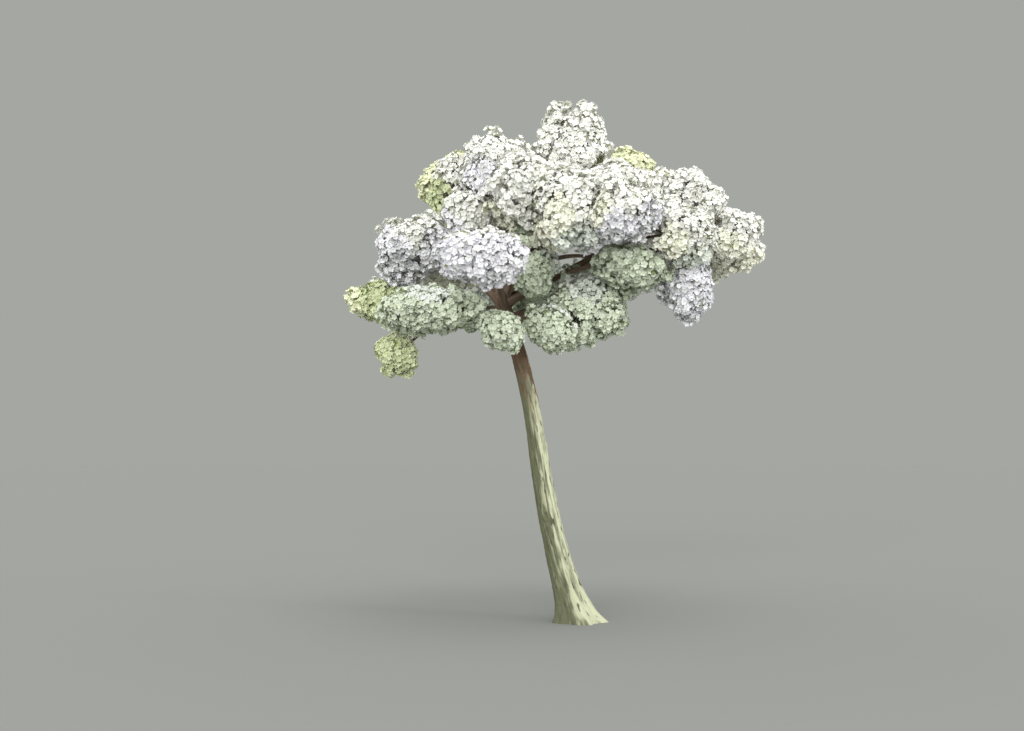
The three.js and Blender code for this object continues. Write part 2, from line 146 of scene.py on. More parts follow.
SNOW = PlainFinish("petal_snow", (0.92, 0.92, 0.87), 0.55, 0.15)
IVORY = PlainFinish("petal_ivory", (0.91, 0.91, 0.78), 0.55, 0.15)
CREAM = PlainFinish("petal_cream", (0.86, 0.88, 0.62), 0.55, 0.15)
LILAC = PlainFinish("petal_lilac", (0.87, 0.865, 0.90), 0.55, 0.15)
# The next two petal colours are painted shade: grey-green that stands in for the shade on the lower side of
# the crown.
MIST_PAINTED_SHADE = PlainFinish("petal_mist", (0.80, 0.84, 0.77), 0.55, 0.15)
SHADE = PlainFinish("petal_shade", (0.68, 0.745, 0.59), 0.55, 0.15)
# Green-white petals, darkened further as painted shade for the low, down-facing sprays of the creamy masses.
GREEN_WHITE_PAINTED_SHADE = PlainFinish("petal_green_white", (0.66, 0.72, 0.44), 0.55, 0.15)
EYE = PlainFinish("flower_eye", (0.66, 0.62, 0.25), 0.7)
STALK = PlainFinish("flower_stalk", (0.46, 0.52, 0.27), 0.6)
TWIG = PlainFinish("twig_bark", (0.17, 0.115, 0.080), 0.7)
SPUR = PlainFinish("spur_bark", (0.34, 0.31, 0.20), 0.7)
LEAF = PlainFinish("leaf_green", (0.33, 0.45, 0.12), 0.5)
LEAF_YOUNG = PlainFinish("leaf_bronze_green", (0.46, 0.46, 0.19), 0.5)

PETALS = (SNOW, IVORY, CREAM, LILAC, MIST_PAINTED_SHADE, SHADE, GREEN_WHITE_PAINTED_SHADE)
# The petals' finishes by number, and after them those of the other parts of a flower in the order of Part
FLOWER_FINISHES = (*PETALS, EYE, STALK)
TWIG_FINISHES = (TWIG, SPUR)
LEAF_FINISHES = (LEAF, LEAF_YOUNG)

# Petal colours of the sprays of each tone, from those that face up to those that face down. The darker,
# greener colours towards the end are painted shade for the crown's lower side.
SPRAY_COLOURS = {
    Tone.WHITE: (SNOW, SNOW, IVORY, MIST_PAINTED_SHADE),
    Tone.LILAC: (SNOW, LILAC, LILAC, LILAC),
    Tone.CREAM: (CREAM, CREAM, GREEN_WHITE_PAINTED_SHADE, GREEN_WHITE_PAINTED_SHADE),
    Tone.SHADE: (MIST_PAINTED_SHADE, SHADE, SHADE, SHADE),
}
# Leaves for each cluster of flowers in the masses of each tone
LEAFINESS = {Tone.WHITE: 0.12, Tone.LILAC: 0.10, Tone.CREAM: 0.40, Tone.SHADE: 0.20}


@dataclass(frozen=True)
class BarkFinish:
    """Cherry bark: streaks along the limb, fine cross bands, a colour that changes along it, and a painted
    highlight of pale bark on the side that the side light falls on.

    Attributes:
        name: Name of the material.
        low: Colour of the bark near the foot.
        pale: Colour of its raised, weathered ridges near the foot.
        high: Colour of the younger bark above.
        groove: Colour in the grooves.
        painted_highlight: Painted highlight: how much more of the pale ridges shows on the +X side, where the
            side light falls.
        change: Lengths along the limb between which low turns to high.
        relief: Strength of the fine bump.
        ragged: How far the streaks carry that change along the limb, in metres.
        streak_and_highlight_most: Sum of streak and painted highlight at which the bark is all pale.
        band_lift: How much lighter than the younger bark its cross bands are.
        dullness: Roughness between the streaks and on them.
        bump_depth: Depth of the fine bump in metres.
    """

    name: str
    low: Colour
    pale: Colour
    high: Colour
    groove: Colour
    painted_highlight: float
    change: tuple[float, float]
    relief: float
    ragged: float = 0.5
    streak_and_highlight_most: float = 1.4
    band_lift: float = 1.5
    dullness: tuple[float, float] = (0.62, 0.9)
    bump_depth: float = 0.004

    def material(self) -> bpy.types.Material:
        """Returns the material, which follows the limb by its grain attribute."""
        made = bpy.data.materials.new(self.name)
        made.use_nodes = True
        tree = made.node_tree
        shader = tree.nodes["Principled BSDF"]
        place = tree.nodes.new("ShaderNodeAttribute")
        place.attribute_name = GRAIN
        grain = tree.nodes.new("ShaderNodeGroup")
        grain.node_tree = bark_group()
        split = tree.nodes.new("ShaderNodeSeparateXYZ")
        tree.links.new(place.outputs["Vector"], grain.inputs["Place"])
        tree.links.new(place.outputs["Vector"], split.inputs["Vector"])
        streaks = grain.outputs["Streaks"]
        height = reckoned(tree, "MULTIPLY_ADD", streaks, self.ragged, split.outputs["Z"])
        # Painted highlight: more of the pale bark shows towards +X, so that the side which the side light
        # falls on looks lit.
        lit = reckoned(tree, "MULTIPLY_ADD", split.outputs["X"], self.painted_highlight / GIRTH, streaks)
        ridges = mixed(tree, ranged(tree, lit, (0.0, self.streak_and_highlight_most)), self.low, self.pale)
        banded = tuple(self.band_lift * share for share in self.high)
        upper = mixed(tree, grain.outputs["Bands"], self.high, banded)
        body = mixed(tree, ranged(tree, height, self.change), ridges, upper)
        dark = mixed(tree, grain.outputs["Grooves"], body, self.groove)
        dull = ranged(tree, streaks, (0.0, 1.0), self.dullness, "LINEAR")
        bump = tree.nodes.new("ShaderNodeBump")
        bump.inputs["Strength"].default_value = self.relief
        bump.inputs["Distance"].default_value = self.bump_depth
        tree.links.new(grain.outputs["Height"], bump.inputs["Height"])
        tree.links.new(dark, shader.inputs["Base Color"])
        tree.links.new(dull, shader.inputs["Roughness"])
        tree.links.new(bump.outputs["Normal"], shader.inputs["Normal"])
        return made


def feed(tree: bpy.types.NodeTree, socket: Socket, value: float | Colour | Socket) -> None:
    """Gives a socket its value.

    Args:
        tree: The nodes that it belongs to.
        socket: The input.
        value: A number, a colour, or the output that gives it.
    """
    if isinstance(value, Socket):
        tree.links.new(value, socket)
    elif isinstance(value, tuple):
        socket.default_value = (*value, 1.0)
    else:
        socket.default_value = value


def mixed(
    tree: bpy.types.NodeTree, factor: Socket, first: Colour | Socket, second: Colour | Socket
) -> Socket:
    """Mixes two colours.

    Args:
        tree: The nodes that the mix joins.
        factor: Output that says how much of the second colour shows.
        first: A colour, or the output that gives it.
        second: A colour, or the output that gives it.

    Returns:
        The output of the mixed colour.
    """
    mix = tree.nodes.new("ShaderNodeMix")
    mix.data_type = "RGBA"
    # By number, because a mix node has several sockets of each name
    feed(tree, mix.inputs[0], factor)
    feed(tree, mix.inputs[6], first)
    feed(tree, mix.inputs[7], second)
    return mix.outputs[2]


def reckoned(tree: bpy.types.NodeTree, operation: str, *values: float | Socket) -> Socket:
    """Works out a value.

    Args:
        tree: The nodes that the sum joins.
        operation: What is done with the values.
        values: Numbers, or the outputs that give them.

    Returns:
        The output of the result.
    """
    node = tree.nodes.new("ShaderNodeMath")
    node.operation = operation
    for socket, value in zip(node.inputs, values):
        feed(tree, socket, value)
    return node.outputs[0]


def ranged(
    tree: bpy.types.NodeTree,
    source: Socket,
    limits: tuple[float, float],
    results: tuple[float, float] = (0.0, 1.0),
    course: str = "SMOOTHSTEP",
) -> Socket:
    """Brings a value from one range to another.

    Args:
        tree: The nodes that the step joins.
        source: Output of the value.
        limits: The range that it has.
        results: The range that it gets.
        course: How it runs between the two ends.

    Returns:
        The output of the result.
    """
    node = tree.nodes.new("ShaderNodeMapRange")
    node.interpolation_type = course
    names = ("From Min", "From Max", "To Min", "To Max")
    for name, value in zip(names, (*limits, *results)):
        node.inputs[name].default_value = value
    tree.links.new(source, node.inputs["Value"])
    return node.outputs["Result"]


@dataclass(frozen=True)
class BarkPattern:
    """A pattern of noise on the straightened limb.

    Attributes:
        stretch: Its scale along each axis, where a small last number draws it out along the limb.
        scale: Its overall scale.
        detail: How much fine detail it has.
        limits: Values of the noise between which it goes from 0 to 1, or None where it stays as it is.
    """

    stretch: tuple[float, float, float]
    scale: float
    detail: float
    limits: tuple[float, float] | None = None

    def lay(self, tree: bpy.types.NodeTree, place: Socket) -> Socket:
        """Adds the pattern to some nodes.

        Args:
            tree: The nodes.
            place: Output of the place on the straightened limb.

        Returns:
            The pattern's output.
        """
        mapping = tree.nodes.new("ShaderNodeMapping")
        mapping.inputs["Scale"].default_value = self.stretch
        tree.links.new(place, mapping.inputs["Vector"])
        texture = tree.nodes.new("ShaderNodeTexNoise")
        texture.inputs["Scale"].default_value = self.scale
        texture.inputs["Detail"].default_value = self.detail
        tree.links.new(mapping.outputs["Vector"], texture.inputs["Vector"])
        if self.limits is None:
            return texture.outputs["Fac"]
        return ranged(tree, texture.outputs["Fac"], self.limits)


STREAKS = BarkPattern((1, 1, 0.11), 30, 9, (0.38, 0.62))
BANDS = BarkPattern((0.25, 0.25, 1), 95, 2, (0.56, 0.68))
GROOVES = BarkPattern((1, 1, 0.16), 46, 5, (0.43, 0.34))
FLAKES = BarkPattern((1, 1, 0.35), 120, 6)
# How high a cross band stands, where a groove's depth is 1
BAND_HEIGHT = 0.35


def bark_group() -> bpy.types.NodeTree:
    """Returns the node group of bark grain, which both barks share."""
    name = "bark_grain"
    if name in bpy.data.node_groups:
        return bpy.data.node_groups[name]
    group = bpy.data.node_groups.new(name, "ShaderNodeTree")
    group.interface.new_socket("Place", in_out="INPUT", socket_type="NodeSocketVector")
    outputs = ("Streaks", "Bands", "Grooves", "Height")
    for output in outputs:
        group.interface.new_socket(output, in_out="OUTPUT", socket_type="NodeSocketFloat")
    place = group.nodes.new("NodeGroupInput").outputs["Place"]
    result = group.nodes.new("NodeGroupOutput")
    streaks, bands, grooves, flakes = (
        pattern.lay(group, place) for pattern in (STREAKS, BANDS, GROOVES, FLAKES)
    )
    raised = reckoned(group, "SUBTRACT", flakes, grooves)
    height = reckoned(group, "MULTIPLY_ADD", bands, BAND_HEIGHT, raised)
    for output, source in zip(outputs, (streaks, bands, grooves, height)):
        group.links.new(source, result.inputs[output])
    return group


TRUNK_BARK = BarkFinish(
    name="trunk_bark",
    low=(0.13, 0.14, 0.072),
    pale=(0.60, 0.62, 0.42),
    high=(0.155, 0.088, 0.050),
    groove=(0.10, 0.095, 0.055),
    # The trunk's +X side gets a strong painted highlight of pale bark.
    painted_highlight=0.9,
    change=(2.33, 2.78),
    relief=0.8,
)
BOUGH_BARK = BarkFinish(
    name="bough_bark",
    low=(0.17, 0.108, 0.070),
    pale=(0.30, 0.225, 0.165),
    high=(0.125, 0.078, 0.052),
    groove=(0.06, 0.040, 0.028),
    painted_highlight=0.0,
    change=(1.2, 2.4),
    relief=0.6,
)


# Pieces


def place_piece(mesh: bpy.types.Mesh, name: str, nodes: tuple[str, ...]) -> bpy.types.Object:
    """Puts a mesh into the scene as a piece of the tree.

    Args:
        mesh: The finished mesh, in the frame of the solids.
        name: Name of the piece.
        nodes: Solids that it stands for.

    Returns:
        The new object.
    """
    piece = bpy.data.objects.new(name, mesh)
    bpy.context.scene.collection.objects.link(piece)
    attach(piece, BODY)
    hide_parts(*nodes)
    LOG.info("%s: %d triangles", name, sum(len(face.vertices) - 2 for face in mesh.polygons))
    return piece


def joined_mesh(
    name: str,
    corners: np.ndarray,
    faces: np.ndarray,
    colours: np.ndarray,
    finishes: tuple[PlainFinish, ...],
) -> bpy.types.Mesh:
    """Makes one mesh of many small shapes.

    Args:
        name: Name of the mesh.
        corners: Places of the vertices, one row each.
        faces: Vertex numbers of the triangles, one row each.
        colours: Number of each triangle's finish.
        finishes: The finishes that the numbers stand for.

    Returns:
        The mesh, shaded smooth.
    """
    mesh = bpy.data.meshes.new(name)
    mesh.vertices.add(len(corners))
    mesh.vertices.foreach_set("co", corners.astype(np.float32).ravel())
    mesh.loops.add(faces.size)
    mesh.loops.foreach_set("vertex_index", faces.astype(np.int32).ravel())
    mesh.polygons.add(len(faces))
    mesh.polygons.foreach_set("loop_start", np.arange(0, faces.size, 3, dtype=np.int32))
    mesh.polygons.foreach_set("material_index", colours.astype(np.int32))
    mesh.polygons.foreach_set("use_smooth", np.ones(len(faces), dtype=bool))
    for finish in finishes:
        mesh.materials.append(finish.material())
    mesh.update(calc_edges=True)
    mesh.validate()
    return mesh


# Drawing by lot


class Stream:
    """Numbers from 0 to 1 that are the same each time for the same seed, as in the source of the solids."""

    PRIME = 2147483647
    FACTOR = 16807
    SEED_STEP = 7919
    SEED_START = 12345
    FIRST_DRAWS = 3

    def __init__(self, seed: int) -> None:
        """Starts the stream.

        Args:
            seed: Number that settles all the draws.
        """
        self.state = (seed * self.SEED_STEP + self.SEED_START) % self.PRIME
        for _ in range(self.FIRST_DRAWS):
            self.draw()

    def draw(self) -> float:
        """Returns the next number."""
        self.state = self.state * self.FACTOR % self.PRIME
        return self.state / self.PRIME

    def between(self, least: float, greatest: float) -> float:
        """Returns the next number, spread between two limits."""
        return least + (greatest - least) * self.draw()


def unit(rows: np.ndarray) -> np.ndarray:
    """Returns the rows, each scaled to length 1."""
    return rows / np.maximum(np.linalg.norm(rows, axis=-1, keepdims=True), 1e-12)


def spiral_headings(count: int) -> np.ndarray:
    """Returns that many headings spread evenly all round."""
    k = np.arange(count)
    z = 1 - (2 * k + 1) / count
    level = np.sqrt(1 - z * z)
    return np.stack((level * np.cos(GOLDEN_ANGLE * k), level * np.sin(GOLDEN_ANGLE * k), z), axis=1)


def references(headings: np.ndarray) -> np.ndarray:
    """Returns for each heading a way that is well away from it."""
    return np.where(np.abs(headings[..., 2:]) > STEEP, SIDEWAYS, UP)


def turned(vector: np.ndarray, axis: np.ndarray, angle: float) -> np.ndarray:
    """Returns a vector turned about an axis."""
    return (
        vector * math.cos(angle)
        + np.cross(axis, vector) * math.sin(angle)
        + axis * (axis @ vector) * (1 - math.cos(angle))
    )


def strayed(heading: np.ndarray, stream: Stream, scatter: float) -> np.ndarray:
    """Turns a heading a little, to a side drawn at random.

    Args:
        heading: The heading, of length 1.
        stream: Where the draws come from.
        scatter: Greatest angle, in radians.

    Returns:
        The new heading.
    """
    angle = scatter * stream.draw()
    way = 2 * math.pi * stream.draw()
    across = unit(np.cross(heading, references(heading)))
    return turned(heading, turned(across, heading, way), angle)


def round_half_up(value: float) -> int:
    """Returns the nearest whole number, with halves going up."""
    return math.floor(value + 0.5)


# Limbs


class Profile(Enum):
    """How a ripple of the bark rises and falls with its noise."""

    SWELL = "swell"
    FURROW = "furrow"
    RIDGE = "ridge"
    BAND = "band"
    FOLD = "fold"


@dataclass(frozen=True)
class Ripple:
    """One kind of relief in the bark, which follows a noise that runs round the limb and along it.

    Attributes:
        profile: How it rises and falls.
        rise: How far it stands out, below 0 where it goes in.
        around: How fast its noise changes round the limb.
        along: How fast its noise changes along the limb.
        shift: Where its noise starts.
        edge: Value of the noise that sets how wide a furrow or ridge is, or at which a band begins.
        band_width: How much further the noise goes to the full height of a band.
    """

    profile: Profile
    rise: float
    around: float
    along: float
    shift: float = 0.0
    edge: float = 0.3
    band_width: float = 0.3

    def height(self, x: float, y: float, length: float, own: tuple[float, float] = (0.0, 0.0)) -> float:
        """Works out how far it stands out at a place.

        Args:
            x: Cosine of the place's angle round the limb.
            y: Sine of that angle.
            length: Length along the limb.
            own: Shift of the noise that gives each limb a bark of its own.

        Returns:
            The height.
        """
        place = (self.around * x + own[0], self.around * y + own[1], self.along * length + self.shift)
        value = noise.noise(Vector(place))
        if self.profile is Profile.FURROW:
            value = math.exp(-((value / self.edge) ** 2))
        elif self.profile is Profile.RIDGE:
            value = 1 - abs(value) / self.edge
        elif self.profile is Profile.BAND:
            value = max(0.0, value - self.edge) / self.band_width
        elif self.profile is Profile.FOLD:
            value = abs(value)
        return self.rise * value


class Tube:
    """A limb's mesh in the making, extruded ring by ring from a circle."""

    def __init__(self, sides: int) -> None:
        """Starts with the first ring, closed by a lid.

        Args:
            sides: Faces round the limb.
        """
        self.shape = bmesh.new()
        self.grain = self.shape.verts.layers.float_vector.new(GRAIN)
        ring = bmesh.ops.create_circle(self.shape, cap_ends=False, segments=sides, radius=1.0)["verts"]
        self.edges = list(self.shape.edges)
        bmesh.ops.contextual_create(self.shape, geom=self.edges)
        self.turns = {vertex: math.atan2(vertex.co.y, vertex.co.x) for vertex in ring}

    def extrude(self) -> None:
        """Adds a ring, whose vertices keep the angles of those that they grow from."""
        grown = bmesh.ops.extrude_edge_only(self.shape, edges=self.edges)["geom"]
        self.edges = [item for item in grown if isinstance(item, bmesh.types.BMEdge)]
        before = self.turns
        self.turns = {}
        for vertex in grown:
            if isinstance(vertex, bmesh.types.BMVert):
                around = (edge.other_vert(vertex) for edge in vertex.link_edges)
                self.turns[vertex] = next(before[other] for other in around if other in before)

    def rank(self, face: bmesh.types.BMFace) -> float:
        """Returns a number that no other face has, which grows from foot to tip."""
        numbers = [vertex.index for vertex in face.verts]
        return float(max(numbers) * len(self.shape.verts) + min(numbers))

    def closed(self, name: str, finish: BarkFinish) -> bpy.types.Mesh:
        """Closes the last ring with a lid.

        Args:
            name: Name of the mesh.
            finish: Its bark.

        Returns:
            The mesh, shaded smooth.
        """
        bmesh.ops.contextual_create(self.shape, geom=self.edges)
        bmesh.ops.recalc_face_normals(self.shape, faces=self.shape.faces)
        # Extruding makes the faces of a ring in an order that changes from run to run
        self.shape.verts.index_update()
        self.shape.faces.sort(key=self.rank)
        mesh = bpy.data.meshes.new(name)
        self.shape.to_mesh(mesh)
        self.shape.free()
        mesh.materials.append(bpy.data.materials.get(finish.name) or finish.material())
        mesh.polygons.foreach_set("use_smooth", np.ones(len(mesh.polygons), dtype=bool))
        mesh.update()
        return mesh


@dataclass(frozen=True)
class Scar:
    """The healed scar of a lost limb: a ring of callus round a dimple.

    Attributes:
        height: Height of its middle.
        angle: Its place round the trunk.
        radius: Its size.
        squash: How much flatter than round it is.
        callus: How far the ring stands out.
        callus_place: Where the ring runs, as a share of the radius.
        callus_spread: How wide the ring is.
        dimple: How deep the dimple is.
        dimple_spread: How wide the dimple is.
    """

    height: float
    angle: float
    radius: float
    squash: float = 0.8
    callus: float = 0.010
    callus_place: float = 0.8
    callus_spread: float = 0.12
    dimple: float = 0.006
    dimple_spread: float = 0.15

    def rise(self, height: float, angle: float, girth: float) -> float:
        """Works out how far the bark stands out.

        Args:
            height: Height of the place.
            angle: Its angle round the trunk.
            girth: Radius of the trunk there.

        Returns:
            The height of callus or dimple.
        """
        turn = (angle - self.angle + math.pi) % (2 * math.pi) - math.pi
        away = math.hypot((height - self.height) * self.squash, turn * girth) / self.radius
        ring = self.callus * math.exp(-((away - self.callus_place) ** 2) / self.callus_spread)
        return ring - self.dimple * math.exp(-(away**2) / self.dimple_spread)


@dataclass
class Trunk:
    """The trunk, from the flat cut at the ground to the top of its fork.

    Attributes:
        height: Height of its top.
        lean: Sideways run towards -X for each metre of height.
        sway: How far it swings to each side of its leaning line.
        back_sway: The same swing, from front to back.
        foot_radius: Radius at the foot, without the flare.
        top_radius: Radius at the top.
        taper_power: How the radius falls between the two.
        flare_reach: How far the root flare adds to the radius at the ground.
        flare_height: Height in which the flare falls to about a third.
        toes: Root toes round the flare.
        toe_share: How much of the flare the toes add or take away.
        toe_turn: Where the first toe lies.
        sides: Faces round the mesh.
        rings: Faces along it.
        crowding: How much closer the rings lie at the foot than at the top.
        dome: Height of the rounded top.
        dome_least: Share of the radius that the dome keeps at the very top.
        twist: How far the bark winds round the trunk for each metre, in radians.
        age_high: Strength of furrows and ridges high up.
        age_foot: What the foot adds to that strength.
        age_height: Height in which that falls to about a third.
        fold_height: Height in which the folds between the toes fall to about a third.
        swell: Broad swells.
        plate: Small plates.
        band: Cross bands.
        furrow: Furrows along the trunk.
        ridge: Ridges beside them.
        fold: Folds between the toes.
        scars: Healed scars.
    """

    height: float = 3.230
    lean: float = 0.242
    sway: float = 0.050
    back_sway: float = 0.035
    foot_radius: float = 0.145
    top_radius: float = 0.076
    taper_power: float = 2.0
    flare_reach: float = 0.118
    flare_height: float = 0.170
    toes: int = 5
    toe_share: float = 0.3
    toe_turn: float = 0.9
    sides: int = 96
    rings: int = 400
    crowding: float = 0.35
    dome: float = 0.05
    dome_least: float = 0.25
    twist: float = 0.35
    age_high: float = 0.45
    age_foot: float = 0.75
    age_height: float = 1.1
    fold_height: float = 0.16
    swell: Ripple = Ripple(Profile.SWELL, 0.0075, 1.4, 1.5)
    plate: Ripple = Ripple(Profile.SWELL, 0.0012, 19, 26)
    band: Ripple = Ripple(Profile.BAND, 0.0018, 2.2, 30, 5, 0.18)
    furrow: Ripple = Ripple(Profile.FURROW, -0.0100, 3.6, 1.3, 9, 0.12)
    ridge: Ripple = Ripple(Profile.RIDGE, 0.0038, 9, 4.5, 3, 0.3)
    fold: Ripple = Ripple(Profile.FOLD, -0.010, 4.2, 2, 1)
    scars: tuple[Scar, ...] = (
        Scar(1.04, -1.9, 0.042),
        Scar(1.72, 0.35, 0.034),
        Scar(2.30, -0.9, 0.030),
        Scar(0.62, 2.2, 0.046),
    )

    def middle(self, height: float) -> np.ndarray:
        """Returns the middle of the trunk at a height."""
        share = height / self.height
        return np.array(
            (
                -self.lean * height - self.sway * math.sin(2 * math.pi * share),
                -self.back_sway * math.sin(math.pi * share),
                height,
            )
        )

    def radius(self, height: float) -> float:
        """Returns the radius at a height, without the toes."""
        taper = (self.foot_radius - self.top_radius) * (1 - height / self.height) ** self.taper_power
        return self.top_radius + taper + self.flare_reach * math.exp(-height / self.flare_height)

    def relief(self, height: float, angle: float) -> float:
        """Works out how far the bark stands out.

        Args:
            height: Height of the place.
            angle: Its angle round the trunk.

        Returns:
            The sum of all ripples and scars.
        """
        turn = angle + self.twist * height
        place = (math.cos(turn), math.sin(turn), height)
        age = self.age_high + self.age_foot * math.exp(-height / self.age_height)
        even = sum(ripple.height(*place) for ripple in (self.swell, self.plate, self.band))
        aged = age * sum(ripple.height(*place) for ripple in (self.furrow, self.ridge))
        fold = self.fold.height(*place) * math.exp(-height / self.fold_height)
        return even + aged + fold + sum(scar.rise(height, angle, self.radius(height)) for scar in self.scars)

    def build(self) -> None:
        """Extrudes the trunk ring by ring from a circle at the ground, and shapes its bark."""
        tube = Tube(self.sides)
        for step in range(self.rings + 1):
            if step:
                tube.extrude()
            share = step / self.rings
            self.shape_ring(tube, self.height * (self.crowding * share**2 + (1 - self.crowding) * share))
        mesh = tube.closed("trunk_bark", TRUNK_BARK)
        place_piece(mesh, mesh.name, ("trunk",))

    def shape_ring(self, tube: Tube, height: float) -> None:
        """Moves the last ring of the mesh to its height.

        Args:
            tube: The mesh.
            height: Height of the ring.
        """
        centre = self.middle(height)
        domed = max(0.0, (height - self.height + self.dome) / self.dome)
        shrink = max(self.dome_least, math.sqrt(max(0.0, 1 - domed**2)))
        toe = self.toe_share * self.flare_reach * math.exp(-height / self.flare_height)
        for vertex, angle in tube.turns.items():
            radius = self.radius(height) + toe * math.cos(self.toes * angle + self.toe_turn)
            radius = (radius + self.relief(height, angle)) * shrink
            x, y = math.cos(angle), math.sin(angle)
            vertex.co = (centre[0] + radius * x, centre[1] + radius * y, centre[2])
            vertex[tube.grain] = (GIRTH * x, GIRTH * y, height)


# Boughs and masses, as in the source of the solids


@dataclass(frozen=True)
class Growth:
    """One mass of blossom and the bough that carries it, in millimetres.

    Attributes:
        heart: Middle of the mass.
        half: Its half sizes.
        tone: Its overall tone.
        limb: What its bough starts from: the trunk or another bough.
        at: Height on the trunk, or share of the other bough's length.
        radius: First radius of the bough.
        arch: How far the bough arches above its straight line.
        fused: True where the bough is part of the mass's own solid.
    """

    heart: tuple[float, float, float]
    half: tuple[float, float, float]
    tone: Tone
    limb: str
    at: float
    radius: float
    arch: float
    fused: bool = False


# Each mass comes after the one whose bough its own bough starts from
GROWTHS = {
    "crown_top": Growth((-30, 60, 4790), (390, 410, 430), Tone.WHITE, "trunk", 3225, 54, 0.5),
    "left": Growth((-1650, -100, 3700), (400, 510, 330), Tone.LILAC, "trunk", 3080, 46, 0.25),
    "far_right": Growth((1560, 60, 3810), (370, 490, 360), Tone.WHITE, "trunk", 3150, 52, 0.14),
    "back": Growth((-600, 1580, 3780), (480, 520, 430), Tone.WHITE, "trunk", 3120, 46, 0.22),
    "front": Growth((-150, -1150, 3870), (350, 440, 410), Tone.WHITE, "trunk", 3170, 44, 0.2),
    "front_left": Growth((-910, -1420, 3350), (460, 500, 290), Tone.LILAC, "trunk", 3000, 42, 0.3),
    "back_left": Growth((-1330, 950, 3830), (530, 560, 430), Tone.WHITE, "trunk", 3040, 42, 0.25),
    "lower_left": Growth((-1440, -550, 3030), (500, 470, 260), Tone.SHADE, "trunk", 2860, 36, 0.32),
    "lower_right_inner": Growth((60, -150, 3080), (440, 440, 390), Tone.SHADE, "trunk", 2930, 36, 0.25),
    "lower_front": Growth((-750, -820, 2785), (240, 280, 220), Tone.SHADE, "trunk", 2810, 26, 0.5, True),
    "lower_front_right": Growth(
        (-270, -430, 2835), (270, 310, 230), Tone.SHADE, "trunk", 2800, 26, 0.5, True
    ),
    "lower_back_right": Growth((110, 980, 3180), (480, 480, 320), Tone.SHADE, "trunk", 2980, 38, 0.25),
    "lower_back_left": Growth((-1010, 1100, 3230), (470, 440, 260), Tone.SHADE, "trunk", 2900, 34, 0.25),
    "left_tip": Growth((-2050, 280, 3220), (370, 400, 240), Tone.CREAM, "trunk", 2950, 34, 0.25),
    "fork_front": Growth((-455, -420, 3430), (235, 280, 320), Tone.SHADE, "trunk", 3160, 26, 0.2, True),
    "left_hollow": Growth((-1115, -230, 4000), (280, 320, 260), Tone.WHITE, "left", 0.42, 24, 0.2),
    "upper_left": Growth((-870, -200, 4470), (355, 440, 400), Tone.LILAC, "crown_top", 0.2, 36, 0.4),
    "upper_front": Growth((-470, -680, 4120), (430, 470, 390), Tone.WHITE, "front", 0.25, 32, 0.3),
    "upper_front_right": Growth((370, -440, 4180), (400, 400, 350), Tone.WHITE, "crown_top", 0.25, 30, 0.1),
    "left_shoulder": Growth((-1280, 270, 4420), (350, 440, 330), Tone.CREAM, "left", 0.32, 30, 0.5),
    "front_right": Growth((340, -1330, 3800), (330, 430, 300), Tone.LILAC, "front", 0.42, 32, 0.2),
    "top_right": Growth((530, 150, 4550), (260, 390, 230), Tone.CREAM, "crown_top", 0.42, 28, 0.3),
    "upper_right": Growth((1070, 0, 4200), (390, 470, 370), Tone.WHITE, "far_right", 0.42, 32, 0.4),
    "right_front": Growth((870, -930, 3690), (370, 430, 280), Tone.WHITE, "far_right", 0.3, 32, 0.2),
    "right_drop": Growth((1050, -400, 3270), (265, 390, 370), Tone.LILAC, "far_right", 0.55, 28, 0.1),
    "lower_right_outer": Growth((480, -750, 3440), (380, 400, 250), Tone.SHADE, "far_right", 0.2, 30, 0.2),
    "back_right": Growth((660, 1430, 3830), (510, 520, 420), Tone.WHITE, "back", 0.35, 34, 0.3),
    "upper_back_left": Growth((-700, 710, 4340), (480, 480, 400), Tone.WHITE, "back", 0.25, 32, 0.5),
    "upper_back_right": Growth((300, 840, 4380), (480, 460, 390), Tone.WHITE, "crown_top", 0.3, 32, 0.3),
    "right_back": Growth((1330, 860, 3790), (430, 450, 340), Tone.WHITE, "far_right", 0.5, 30, 0.2),
    "left_pendant": Growth((-1810, -100, 2640), (250, 270, 250), Tone.CREAM, "left_tip", 0.6, 18, 0.15),
}
HEARTS = MM * np.array([growth.heart for growth in GROWTHS.values()], dtype=float)
HALVES = MM * np.array([growth.half for growth in GROWTHS.values()], dtype=float)


def depths(points: np.ndarray) -> np.ndarray:
    """Returns how far out each point lies in every mass: 0 at its heart and 1 on its plain skin."""
    return np.linalg.norm((points[..., None, :] - HEARTS) / HALVES, axis=-1)


